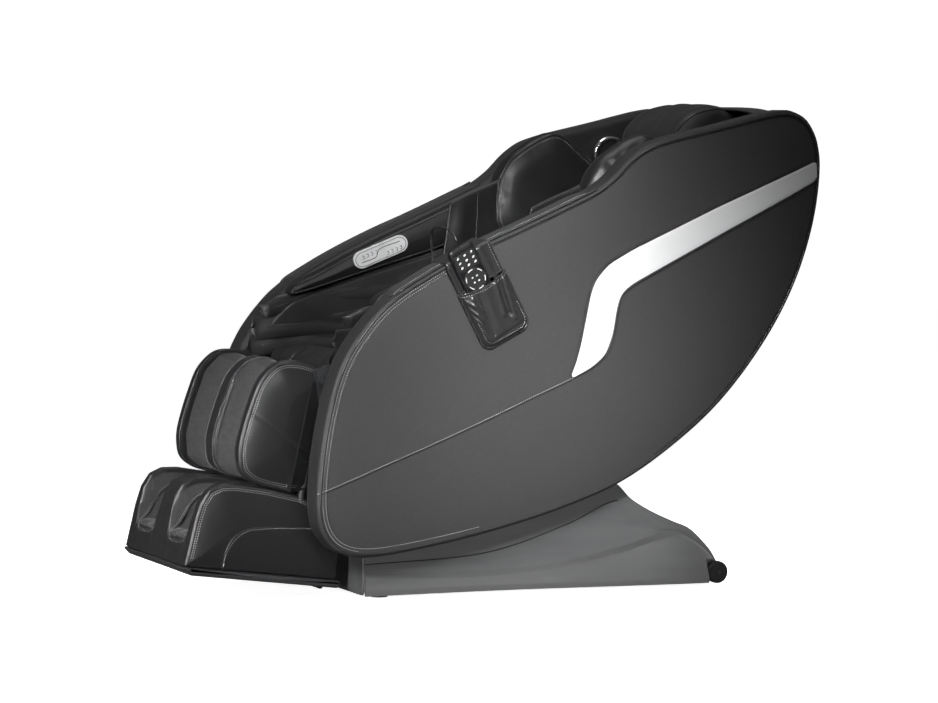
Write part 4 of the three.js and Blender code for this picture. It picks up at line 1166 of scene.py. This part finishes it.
def calf_outline(w):
    """The channel lining's outline, from flush with the walls (w is 0) to the channel's bottom (1)."""
    rear = [(-0.012, -0.250), (-0.012, -0.002)]
    flush = CALF(staged([
        ([(-0.080, -0.247), (-0.012, -0.250)], 20), (rear, 40),
        ([(-0.012, -0.002), (-0.024, 0.008), (-0.050, 0.012), (-0.088, 0.000)], 40),
        ([(-0.088, 0.000), (-0.115, -0.042), (-0.126, -0.124), (-0.129, -0.186), (-0.113, -0.232),
          (-0.080, -0.247)], 140),
    ]))
    deep = CALF(staged([
        ([(-0.034, -0.244), (-0.012, -0.250)], 20), (rear, 40),
        ([(-0.012, -0.002), (-0.020, 0.003), (-0.029, -0.002), (-0.036, -0.014)], 40),
        ([(-0.036, -0.014), (-0.046, -0.060), (-0.050, -0.124), (-0.050, -0.190), (-0.046, -0.226),
          (-0.034, -0.244)], 140),
    ]))
    return relax(lerp(flush, deep, w), 3)


def make_calf_rest():
    """The calf rest: glossy outer walls and divider around two U-shaped channels lined with matt fabric."""
    make_calf_walls()
    channel = (make_calf_divider() - 0.004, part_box("calf_wall_left")[0].x + 0.004)
    across = np.linspace(*channel, 90)
    reach = (across - np.mean(channel)) / (np.ptp(channel) / 2)
    rings = [at_x(x, calf_outline(1 - abs(u) ** 3.2)) for x, u in zip(across, reach)]
    lining = closed_loft("calf_lining_left", rings, "lining")

    def sunken(co):
        t = (co.x - channel[0]) / (channel[1] - channel[0])
        return smooth(min(t, 1 - t) * 4)

    move_vertices(lining, folds(0.0016, 22, seed=8.0, stretch=(1.6, 1, 0.55), mask=sunken))
    finish_pair([lining], None, "pad_leather", "calf")


def make_calf_walls():
    """The outer walls, piped and double-sewn round their edges and sewn across their faces."""
    low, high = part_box("calf_wall_left")
    wall_line = CALF.local(cad_outline("calf_wall_left", 260, 4))
    # The wall's rear is drawn out backwards, more so the further back it lies.
    wall_line[:, 0] += np.clip(wall_line[:, 0] + 0.080, 0, None) ** 2 / 0.10
    wall_line = CALF(spread(wall_line, 260))
    edge_x = high.x - 0.0195
    slices = rounded_slices(low.x + 0.001, high.x - 0.019, 0.008, 0.008, steps=8, middle=3)
    wall = loft_x("calf_wall_left", wall_line, slices, "gloss", crown=(0.001, 0.0195), soft=0.032, steps=30)
    move_vertices(wall, folds(0.0007, 12, seed=3.0, mask=lambda co: smooth((co.x - 0.21) / 0.01)))
    tree = surface(wall)
    shown = ahead_of(CALF, 0.005)
    details = []
    for k, (x, depth, reach) in enumerate(((edge_x, 0.0068, 1), (low.x + 0.004, 0.003, -1))):
        line = stretch_of(border(wall_line, x, depth, 600), shown)
        line = lay_on(tree, line, 0.0004, (-reach, 0, 0))
        details.append(tube(f"calf_wall_piping_{k}_left", line, 0.0019, "piping"))
    for k, depth in enumerate((0.0105, 0.0145)):
        line = stretch_of(border(wall_line, edge_x, depth, 600), shown)
        details.append(stitches(f"calf_wall_stitches_{k}_left", lay_on(tree, line, 0.0002), closed=False))
    seam = at_x(0.26, curve([(-0.546, 0.392), (-0.509, 0.362), (-0.459, 0.324), (-0.392, 0.280)], 120))
    groove(wall, [lay_on(tree, seam)], 0.0022, 0.005)
    tree = surface(wall)
    details.append(tube("calf_seam_left", lay_on(tree, seam), 0.0009, "piping"))
    sewn = lay_on(tree, seam - (0, 0, 0.0035), 0.0003)
    details.append(stitches("calf_seam_stitches_left", sewn, "dark_thread_and_seam_shade", 0.0052, 0.6, 0.0010, False))
    finish_pair([wall], "calf_wall", "pad_leather", "calf")
    finish_pair(details, None, "pad_leather", "calf")


def make_calf_divider():
    """The divider between the calves, piped and sewn round its front; returns the x of its left face."""
    low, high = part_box("calf_divider")
    line = cad_outline("calf_divider", 260, 4)
    slices = rounded_slices(low.x + 0.001, high.x - 0.001, 0.011, 0.011, steps=8, middle=6)
    divider = loft_x("calf_divider", line, slices, "gloss", crown=(0.001, 0.001), soft=0.02)
    fit(divider, "calf", "pad_leather", "calf_divider")
    tree = surface(divider)
    front = ahead_of(CALF, -0.032)
    for side, sign in SIDES:
        ring = stretch_of(border(line, sign * (high.x - 0.0035), 0.0035, 600), front)
        ring = lay_on(tree, ring, 0.0004, (-sign, 0, 0))
        fit(tube(f"calf_divider_piping_{side}", ring, 0.0019, "piping"), "calf", "pad_leather")
        ring = stretch_of(border(line, sign * (high.x - 0.009), 0.0002, 600), front)
        fit(stitches(f"calf_divider_stitches_{side}", ring, closed=False), "calf", "pad_leather")
    return high.x


# ---------------------------------------------------------------- foot rest

WELL = (0.036, 0.182)
FOOT_SEAM = [
    (-0.616, 0.066), (-0.612, 0.098), (-0.596, 0.130), (-0.567, 0.151), (-0.530, 0.155), (-0.400, 0.1495),
]


def well_depth(x):
    """How far the foot well is sunk at x: 0 at its side walls, 1 across its floor."""
    x = np.abs(x)
    return smooth((x - WELL[0]) / 0.019) * smooth((WELL[1] - x) / 0.019)


def foot_outline(x):
    """The foot rest's outline at x, with the well sunk into it where there is one."""
    bottom = [(-0.343, 0.0163), (-0.006, 0.0163)]
    full = staged([
        (bottom, 40), ([(-0.006, 0.0163), (-0.006, 0.120), (-0.024, 0.160)], 40),
        ([(-0.024, 0.160), (-0.106, 0.186), (-0.180, 0.195), (-0.250, 0.198), (-0.284, 0.194),
          (-0.309, 0.179), (-0.324, 0.150), (-0.332, 0.110)], 220),
        ([(-0.332, 0.110), (-0.3425, 0.0163)], 50),
    ])
    well = staged([
        (bottom, 40), ([(-0.006, 0.0163), (-0.006, 0.120), (-0.026, 0.157)], 40),
        ([(-0.026, 0.157), (-0.046, 0.156), (-0.060, 0.120), (-0.078, 0.082), (-0.150, 0.072),
          (-0.190, 0.092), (-0.225, 0.105), (-0.258, 0.092), (-0.290, 0.082), (-0.314, 0.084),
          (-0.329, 0.078), (-0.3365, 0.060)], 220),
        ([(-0.3365, 0.060), (-0.3425, 0.0163)], 50),
    ])
    return FOOT(relax(lerp(full, well, well_depth(x)), 2))


def make_foot_rest():
    """The foot rest: one leather body with two lined wells sunk into it, on a plastic base plate."""
    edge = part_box("foot_rest_body")[1].x - 0.022
    turn = np.linspace(0, math.pi / 2, 8)
    right = [(edge + 0.007 * math.sin(a), 0.007 * (1 - math.cos(a))) for a in turn]
    between = [(x, 0) for x in np.linspace(-edge, edge, 240)[1:-1]]
    slices = [(-x, d) for x, d in right[::-1]] + between + right
    crown = (0.0155, 0.0155)
    body = loft_x("foot_rest_body", foot_outline, slices, "gloss", crown, soft=0.036, steps=34)
    full = foot_outline(0.0)
    skyline = kd_tree(at_x(0, full))

    def lined(co):
        return well_depth(co.x) > 0.12 and skyline.find((0, co.y, co.z))[2] > 0.0045

    rims = {side: well_rim(sign) for side, sign in SIDES}
    paint(body, "lining", lined)
    wrinkle = folds(0.0042, 19, seed=5.0, stretch=(2.2, 0.6, 0.8), mask=lambda co: float(lined(co)))
    move_vertices(body, wrinkle)
    tree = surface(body)
    fit(body, "foot", "pad_leather", "foot_rest_body")
    for side, rim in rims.items():
        fit(tube(f"well_piping_{side}", rim, 0.0021, "piping", closed=True), "foot", "pad_leather")
        middle = rim.mean(axis=0)
        outer = nearest(tree, middle + (rim - middle) * 1.045)
        fit(stitches(f"well_stitches_{side}", relax(outer, 4)), "foot", "pad_leather")

    def visible(y, z):
        y, z = FOOT.local((y, z))
        return z > 0.036 and y < -0.045

    details = []
    for k, depth in enumerate((0.0058, 0.0098, 0.0138)):
        line = lay_on(tree, stretch_of(border(full, edge + 0.007, depth, 700), visible), 0.0003)
        if k:
            details.append(stitches(f"foot_stitches_{k}_left", line, closed=False))
        else:
            details.append(tube("foot_piping_left", line, 0.0020, "piping"))
    seam = at_x(0.26, curve(FOOT_SEAM, 160))
    details.append(tube("foot_side_seam_left", lay_on(tree, seam), 0.0010, "piping"))
    sewn = lay_on(tree, seam + (0, 0.0035, -0.0035), 0.0002)
    details.append(stitches("foot_side_stitches_left", sewn, closed=False))
    finish_pair(details, None, "pad_leather", "foot")
    make_foot_plate()


def well_rim(sign):
    """The closed line where a well's lining is sewn in: a rounded rectangle bent over the front edge."""
    # The rim runs along the third stage of foot_outline, which holds its points 80 to 300.
    first, last = 100, 298
    middle, half = np.mean(WELL), np.ptp(WELL) / 2 - 0.0075
    points = []
    for a in full_turn(240):
        x = middle + half * bent(math.cos(a), 0.42)
        at = lerp(first, last, 0.5 + 0.5 * bent(math.sin(a), 0.55))
        loop = foot_outline(x)
        k = int(at)
        points.append((sign * x, *lerp(loop[k], loop[min(k + 1, last)], at - k)))
    line = relax(np.array(points), 3)
    return line if sign > 0 else line[::-1]


def make_foot_plate():
    """The bevelled plastic plate under the foot rest, with two rubber skids."""
    low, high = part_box("foot_base_tray")
    front, top = -0.342, 0.0155
    plate = [(front + 0.003, 0.009), (front + 0.014, 0.0), (-0.004, 0.0), (0.0, 0.004), (0.0, top),
             (front + 0.003, top), (front, 0.013)]
    slices = rounded_slices(low.x + 0.004, high.x - 0.004, 0.007, 0.007, steps=6, middle=3)
    body = loft_x("foot_plate", FOOT(spread(plate, 260)), slices, "tray", steps=6)
    fit(body, "foot", "black_plastic", "foot_base_tray")
    line = curve([(0.128, -0.027), (0.15, -0.0262), (0.172, -0.027)], 12)
    for side, sign in SIDES:
        ridge = FOOT([(sign * x, y, -0.0012) for x, y in line])
        fit(tube(f"foot_skid_{side}", ridge, 0.0068, "rubber", sides=20), "foot", "black_plastic")


# ---------------------------------------------------------------- base

BASE_TOP = [(-0.319, 0.098), (-0.200, 0.122), (-0.050, 0.152), (0.100, 0.190), (0.222, 0.226), (0.257, 0.221),
            (0.290, 0.189), (0.333, 0.162), (0.388, 0.136), (0.428, 0.119), (0.459, 0.092), (0.482, 0.066),
            (0.495, 0.044)]
BASE_SEAM = [(-0.319, 0.072), (-0.038, 0.087), (0.144, 0.139), (0.262, 0.184), (0.300, 0.160), (0.495, 0.038)]
BASE_CREASE = [(-0.319, 0.051), (-0.046, 0.045), (0.135, 0.059), (0.269, 0.085), (0.380, 0.112),
               (0.440, 0.088), (0.495, 0.030)]
CREASE_FLARE = [(-0.319, 0.005), (0, 0.006), (0.200, 0.012), (0.380, 0.030), (0.495, 0.044)]
FOOT_FLARE = [(-0.319, 0.008), (0, 0.018), (0.200, 0.042), (0.400, 0.066), (0.450, 0.068), (0.495, 0.064)]


def table(points):
    """Smooth interpolation in a list of (y, value) pairs."""
    fine = curve(points, 600)
    return lambda y: float(np.interp(y, fine[:, 0], fine[:, 1]))


def base_heights(y, tables):
    """The heights of a side cover's top, seam and crease at y; the seam stays between the other two."""
    top, seam, crease = [height(y) for height in tables[:3]]
    return top, min(max(seam, crease + 0.008), top - 0.004), crease


def base_section(y, tables, outer_x, wall):
    """One closed (x, z) ring across a side cover: its sculpted outer face, then its plain inner face."""
    top, seam, crease = base_heights(y, tables)
    crease_flare, foot_flare = [flare(y) for flare in tables[3:]]
    sink = 0.006 * smooth((seam - crease) / 0.04)
    notch = 0.003 * (1 - smooth((y - 0.245) / 0.03))
    below_seam = (outer_x - 0.0005, seam - 0.0014)
    above_crease = (outer_x - sink + 0.5 * crease_flare, crease + 0.001)
    foot_x, inner_x = outer_x + foot_flare, outer_x - wall - sink
    return staged([
        ([(outer_x, top), (outer_x, seam + 0.0012)], 8),
        ([(outer_x, seam + 0.0012), (outer_x - notch, seam), below_seam], 6),
        ([below_seam, (outer_x - sink * 0.5, lerp(seam, crease, 0.5)), above_crease], 16),
        ([above_crease, (outer_x + crease_flare + 0.002, crease - 0.008),
          (outer_x + lerp(crease_flare, foot_flare, 0.6), lerp(crease, 0.018, 0.6)), (foot_x, 0.018),
          (foot_x, 0.006)], 26),
        ([(foot_x, 0.006), (inner_x + foot_flare, 0.006), (inner_x, crease - 0.008), (inner_x, top)], 30),
        ([(inner_x, top), (outer_x, top)], 3),
    ])


def at_y(y, ring):
    """An (x, z) ring as a 3-D path at one y."""
    return np.insert(ring, 1, y, axis=1)


def cutter(name, low, high):
    """A box that is only used to cut another piece."""
    corners = [(x, y, z) for x in (low[0], high[0]) for y in (low[1], high[1]) for z in (low[2], high[2])]
    faces = [(0, 1, 3, 2), (4, 6, 7, 5), (0, 4, 5, 1), (2, 3, 7, 6), (0, 2, 6, 4), (1, 5, 7, 3)]
    return new_mesh(name, corners, faces, "black", smooth=False)


def cut_out(obj, tool):
    modifier = obj.modifiers.new("cut", "BOOLEAN")
    modifier.operation = "DIFFERENCE"
    modifier.solver = "EXACT"
    modifier.object = tool
    apply_modifiers(obj)
    bpy.data.objects.remove(tool)


def make_base():
    """The base: two sculpted side covers, the sloping rear cover and a front cover."""
    tables = [table(t) for t in (BASE_TOP, BASE_SEAM, BASE_CREASE, CREASE_FLARE, FOOT_FLARE)]
    outer_x = 0.262
    stations = np.linspace(BASE_TOP[0][0], BASE_TOP[-1][0], 120)
    rings = [at_y(y, base_section(y, tables, outer_x, wall=0.004)) for y in stations]
    cover = closed_loft("base_side_cover_left", rings, "base")
    cut_out(cover, cutter("wheel_notch", (0.291, 0.446, -0.05), (0.345, 0.52, 0.055)))
    harden(cover, 32)
    seam = [(outer_x - 0.001, y, base_heights(y, tables)[1]) for y in np.linspace(-0.318, 0.262, 160)]
    groove_line = tube("base_seam_left", seam, 0.0016, "black")
    finish_pair([cover], "base_side_cover", "base_plastic", "base")
    finish_pair([groove_line], None, "base_plastic", "base")

    low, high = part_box("base_rear_cover")
    top, crest_y = curve(BASE_TOP, 600), 0.222
    slope = [*top[top[:, 0] >= crest_y], (BASE_TOP[-1][0], 0.006)]
    path = spread(slope, 90, closed=False)
    rows = [at_x(x, path) for x in np.linspace(low.x, high.x, 60)]
    rear = grid("base_rear_cover", rows[::-1], "base", 0.004, offset=-1)
    cut_out(rear, cutter("inlet_hole", (-0.177, 0.45, 0.011), (-0.093, 0.55, 0.036)))
    harden(rear, 32)
    fit(rear, "base", "base_plastic", "base_rear_cover")

    low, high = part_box("base_front_cover")
    shape = round_corners([(low.x, low.z), (high.x, low.z), (high.x, high.z), (low.x, high.z)], 0.012, 160)
    rings = [at_y(high.y, shape), at_y(low.y + 0.0012, shape)]
    for y, shrink in ((low.y, 0.0015), (low.y, 0.010), (low.y + 0.0012, 0.0115)):
        rings.append(at_y(y, inset(shape, shrink)))
    fit(closed_loft("base_front_cover", rings, "base"), "base", "base_plastic", "base_front_cover")


def harden(obj, degrees):
    """Smooth shading that breaks at sharp edges."""
    obj.data.polygons.foreach_set("use_smooth", [True] * len(obj.data.polygons))
    obj.data.set_sharp_from_angle(angle=math.radians(degrees))


# ---------------------------------------------------------------- remote and its pocket

POUCH_BACK_X, POUCH_HALF, POUCH_BOTTOM, POUCH_CORNER = 0.3692, 0.056, -0.1302, 0.020


def make_pocket():
    """The leather pocket: a strap over the armrest and a gathered pouch with a piped mouth."""
    outer_x, top, bend = 0.3673, 0.071, 0.006
    profile = [(outer_x, z) for z in np.linspace(-0.122, top - bend, 40)]
    for a in np.linspace(0.2, 1.57, 6):
        profile.append((outer_x - bend * (1 - math.cos(a)), top - bend + bend * math.sin(a)))
    for x in np.linspace(outer_x - 0.008, 0.286, 24):
        profile.append((x, top + 0.0012 * math.sin((x - 0.23) * 23)))
    profile += [(0.2805, z) for z in np.linspace(top - bend, 0.031, 12)]
    rows = []
    for u in np.linspace(-1, 1, 30):
        rows.append(POCKET([(x, POUCH_HALF * u * (1 - 0.06 * smooth(z / 0.07)), z) for x, z in profile]))
    strap = grid("pocket_strap", rows, "pocket", 0.0022, offset=0)
    for vertex in strap.data.vertices:
        if vertex.co.x > outer_x - 0.003:
            vertex.co.x += fold_height(STRAP_FOLDS, *POCKET.local((vertex.co.y, vertex.co.z)))
    fit(strap, "seat", "pad_leather")

    rings = []
    levels = np.concatenate([np.linspace(POUCH_BOTTOM, -0.10, 16), np.linspace(-0.0975, 0.0, 44)])
    for heights, wall in ((levels, 0.0), (levels[::-1][:-8], 0.0016)):
        for z in heights:
            corner = np.clip((z - POUCH_BOTTOM) / POUCH_CORNER, 0, 1)
            swell = math.sqrt(1 - (1 - corner) ** 2)
            wide = POUCH_HALF - POUCH_CORNER * (1 - swell) - wall
            rings.append(pouch_ring(z, wide, lerp(0.004, 0.0172, swell) - wall))
    pouch = closed_loft("pocket_pouch", rings, "pocket", flip=True)
    for vertex in pouch.data.vertices:
        vertex.co.x += pouch_folds(vertex.co)
    fit(pouch, "seat", "pad_leather", "remote_pocket")
    edge_x = POUCH_BACK_X + 0.003
    edge = POCKET([(edge_x, y * 1.012, z - 0.0005) for y, z in pouch_outline()])
    fit(tube("pocket_edge", edge, 0.0019, "piping"), "seat", "pad_leather")
    mouth = pouch_ring(0.0, POUCH_HALF - 0.0006, 0.0162)
    fit(tube("pocket_mouth", mouth + (0.0004, 0, 0), 0.0017, "piping", closed=True), "seat", "pad_leather")
    tree = surface(pouch)
    hem = pouch_ring(-0.0055, POUCH_HALF, 0.0168)
    hem = lay_on(tree, hem[hem[:, 0] > edge_x] + (0.004, 0, 0), 0.0002)
    fit(stitches("pocket_hem_stitches", hem, closed=False), "seat", "pad_leather")
    base = POCKET([(0.39, y * 0.87, z * 0.94) for y, z in pouch_outline() if z < -0.075])
    fit(stitches("pocket_base_stitches", lay_on(tree, base, 0.0003), closed=False), "seat", "pad_leather")
    for side, sign in SIDES:
        y = sign * (POUCH_HALF - 0.0015)
        rim = POCKET([(POUCH_BACK_X, y, z) for z in np.linspace(0.0, top - 0.004, 30)])
        fit(tube(f"pocket_strap_edge_{side}", rim, 0.0017, "piping"), "seat", "pad_leather")
        y = sign * (POUCH_HALF - 0.0055)
        row = POCKET([(POUCH_BACK_X - 0.0002, y, z) for z in np.linspace(0.004, top - 0.004, 30)])
        fit(stitches(f"pocket_strap_stitches_{side}", row, closed=False), "seat", "pad_leather")


def pouch_outline():
    """The pouch's sides and bottom as an open (y, z) line, from one end of its mouth to the other."""
    side, radius = -0.0565, POUCH_CORNER
    half_loop = [(side, z) for z in np.linspace(0.002, -0.109, 12)]
    for a in np.linspace(0.1, 1.57, 10):
        half_loop.append((side + radius * (1 - math.cos(a)), -0.111 - radius * math.sin(a)))
    return spread(half_loop + [(-y, z) for y, z in half_loop[::-1]], 160, closed=False)


def pouch_ring(z, wide, deep):
    """One level of the pouch: flat against the strap, bellied in front, its mouth sagging in the middle."""
    turns = full_turn(720)
    y = wide * bent(np.cos(turns), 0.55)
    front = np.clip(np.sin(turns), 0, 1) ** 0.6
    sag = -0.0085 * smooth((z + 0.05) / 0.05) * (1 - (y / POUCH_HALF) ** 2) * (np.sin(turns) > 0.01)
    return POCKET(spread(np.column_stack([POUCH_BACK_X + deep * front, y, z + sag]), 200))


# Each fold: its two ends in the pocket's (y, z), its half-width, and its height (below 0 in a valley).
POUCH_FOLDS = [
    ((-0.038, -0.020), (-0.046, -0.108), 0.0050, 0.0030),
    ((-0.018, -0.012), (-0.028, -0.108), 0.0044, -0.0026),
    ((-0.006, -0.014), (-0.013, -0.108), 0.0090, 0.0020),
    ((0.021, -0.012), (0.010, -0.080), 0.0048, 0.0034),
    ((0.034, -0.010), (0.022, -0.084), 0.0040, -0.0064),
    ((0.044, -0.008), (0.030, -0.098), 0.0046, 0.0036),
    ((-0.055, -0.014), (-0.030, -0.050), 0.0034, 0.0026),
    ((-0.055, -0.030), (-0.034, -0.074), 0.0030, 0.0028),
    ((-0.055, -0.048), (-0.037, -0.094), 0.0030, 0.0024),
    ((-0.053, -0.072), (-0.042, -0.112), 0.0028, 0.0020),
    ((0.046, -0.114), (-0.030, -0.119), 0.0036, -0.0022),
]
STRAP_FOLDS = [
    ((0.028, 0.064), (0.036, -0.010), 0.0050, 0.0032),
    ((0.046, 0.060), (0.041, 0.010), 0.0034, -0.0014),
    ((-0.050, 0.060), (-0.052, 0.000), 0.0026, 0.0016),
]


def fold_height(table, y, z):
    """How far a table's folds lift the leather at one place."""
    height = 0.0
    for start, end, width, rise in table:
        start, end = np.array(start), np.array(end)
        along = end - start
        t = np.clip(np.dot((y, z) - start, along) / np.dot(along, along), 0, 1)
        away = np.linalg.norm((y, z) - start - t * along)
        height += rise * math.exp(-((away / width) ** 2))
    return height


def pouch_folds(co):
    """The pouch's folds and a little slack, on its front only."""
    y, z = POCKET.local((co.y, co.z))
    slack = 0.0008 * noise.noise(Vector((y * 70 + z * 30, z * 20, 1.7)))
    return (fold_height(POUCH_FOLDS, y, z) * smooth(-z / 0.016) + slack) * smooth((co.x - 0.3765) / 0.006)


def make_remote():
    """The remote: a black slab with white keys, a ring of arrow keys and four dots."""
    corners = [(-0.042, -0.118), (0.018, -0.118), (0.018, 0.092), (-0.042, 0.092)]
    loop = round_corners(corners, 0.011, 220)
    back = [(0.3693, 0.003), (0.3702, 0.0009), (0.3715, 0.0)]
    slices = back + [(0.3790, 0.0), (0.3806, 0.0006), (0.3817, 0.0021)]
    body = loft_x("remote_case", POCKET(loop), slices, "remote", crown=(0, 0.0011), soft=0.012, steps=10)
    fit(body, "seat", "black_plastic", "remote_case")
    lip = at_x(0.3818, POCKET(inset(loop, 0.0026)))
    fit(tube("remote_bezel", lip, 0.0005, "tray", closed=True, sides=6), "seat", "black_plastic")
    keys = []
    for row in range(3):
        for column in range(3):
            place = (-0.0285 + 0.0165 * column, 0.0485 + 0.0108 * row)
            keys.append(oval_key(f"remote_key_{row}{column}", place, 0.0034, 0.0019, 30))
    bed = round_corners([(-0.0365, 0.0405), (0.0125, 0.0405), (0.0125, 0.0765), (-0.0365, 0.0765)], 0.004, 80)
    slices = [(0.3810, 0), (0.3829, 0), (0.3831, 0.0004)]
    keypad = loft_x("remote_keypad", POCKET(bed), slices, "rubber", steps=4)
    fit(keypad, "keypad", "rubber", "remote_keypad")
    for key in keys:
        fit(key, "keypad", "rubber")

    def around(radius, a):
        return -0.0118 + radius * math.cos(a), 0.0150 + radius * math.sin(a)

    disc = [around(0.0246, a) for a in full_turn(96)]
    slices = [(0.3812, 0), (0.3829, 0), (0.3832, 0.0006)]
    ring = loft_x("remote_ring_key", POCKET(disc), slices, "rubber", steps=5)
    fit(ring, "ring_key", "silver_trim", "remote_ring_key")
    for k in range(6):
        middle = math.radians(60 * k + 40)
        arc = [(0.3833, *around(0.0214, a)) for a in np.linspace(middle - 0.27, middle + 0.27, 14)]
        fit(tube(f"remote_arc_{k}", POCKET(arc), 0.0012, "keys"), "ring_key", "silver_trim")
    for k in range(4):
        place = around(0.0078, math.radians(90 * k + 45))
        fit(oval_key(f"remote_dot_{k}", place, 0.0024, 0.0017, 20), "ring_key", "silver_trim")


def oval_key(name, place, long, short, degrees):
    """A small oval key, its long axis turned up by an angle."""
    lean = math.radians(degrees)
    loop = []
    for a in full_turn(24):
        u, v = long * math.cos(a), short * math.sin(a)
        turned = (u * math.cos(lean) - v * math.sin(lean), u * math.sin(lean) + v * math.cos(lean))
        loop.append((place[0] + turned[0], place[1] + turned[1]))
    slices = [(0.3820, 0), (0.3836, 0), (0.3840, 0.0005)]
    return loft_x(name, POCKET(loop), slices, "keys", crown=(0, 0.0003), soft=0.001, steps=4)


# ---------------------------------------------------------------- rear and front covers


def make_back_cover(outline):
    """The leather cover between the side panels behind the back, sewn in panels."""
    low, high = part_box("back_cover")
    rear = stretch_of(border(outline, 0, 0.0105), lambda y, z: (y > 0.34 and z < 0.7) or y > 0.575)
    path = spread(rear[:, 1:], 150, closed=False)
    out = outward_open(path)
    if out[75, 0] < 0:
        out = -out
    rows = []
    for x in np.linspace(low.x, high.x, 61):
        rows.append(at_x(x, path + out * 0.013 * (1 - abs(x / high.x) ** 6)))
    cover = grid("back_cover", rows[::-1], "panel", 0.004, offset=-1)
    seams = [at_x(x, path) for x in (-0.17, 0.17)]
    for share in (0.28, 0.62, 0.88):
        y, z = path[int(150 * share)]
        seams.append(np.array([(x, y, z) for x in np.linspace(low.x + 0.003, high.x - 0.003, 60)]))
    fit(cover, "seat", "black_plastic", "back_cover")
    tree = surface(cover)
    for k, seam in enumerate(seams):
        line = nearest(tree, seam + (0, 0.01, 0))
        fit(tube(f"back_cover_seam_{k}", line, 0.0016, "piping"), "seat", "black_plastic")
        beside = nearest(tree, line + ((0.006, 0.004, 0) if k < 2 else (0, 0.008, 0.0045)))
        fit(stitches(f"back_cover_stitches_{k}", beside, closed=False), "seat", "black_plastic")


CAD_LOOKS = {
    "paint": ["base_frame", "seat_frame", "massage_carriage", "calf_frame", "foot_slide_frame"],
    "steel": ["pivot_shaft", "recline_rod", "massage_track", "kneading_arm_left", "kneading_arm_right"],
    "rubber": ["front_foot_left", "front_foot_right", "transport_wheel_left", "transport_wheel_right"],
    "black": ["control_box", "air_pump", "power_inlet", "power_switch", "recline_motor", "calf_motor",
              "track_wheels", "calf_tray", "foot_roller", "massage_roller_upper_left",
              "massage_roller_upper_right", "massage_roller_lower_left", "massage_roller_lower_right"],
}


def dress_cad_nodes():
    """The CAD's own mechanism stays in view, with finishes of its own."""
    for look, names in CAD_LOOKS.items():
        for name in names:
            for slot in frame["nodes"][name].material_slots:
                slot.material = MAT[look]


MAT["floor"] = moulded("floor_paint", (0.93, 0.93, 0.93), 0.7, 60, 0.0001)
MAT["backdrop"] = moulded("backdrop_paint", (0.9, 0.9, 0.9), 0.8, 60, 0.0001)
glow(MAT["floor"], 0.93)
glow(MAT["backdrop"], 1.0)
make_camera()
make_stage()
make_lead()
shell_tree, shell_outline = make_shells()
make_stripes(shell_tree)
make_arm_caps(shell_outline)
make_arm_pads()
make_hip_airbags()
make_wings()
make_speakers()
make_seat()
make_seat_gusset()
make_back()
make_pillow()
make_calf_rest()
make_foot_rest()
make_base()
make_pocket()
make_remote()
make_back_cover(shell_outline)
dress_cad_nodes()
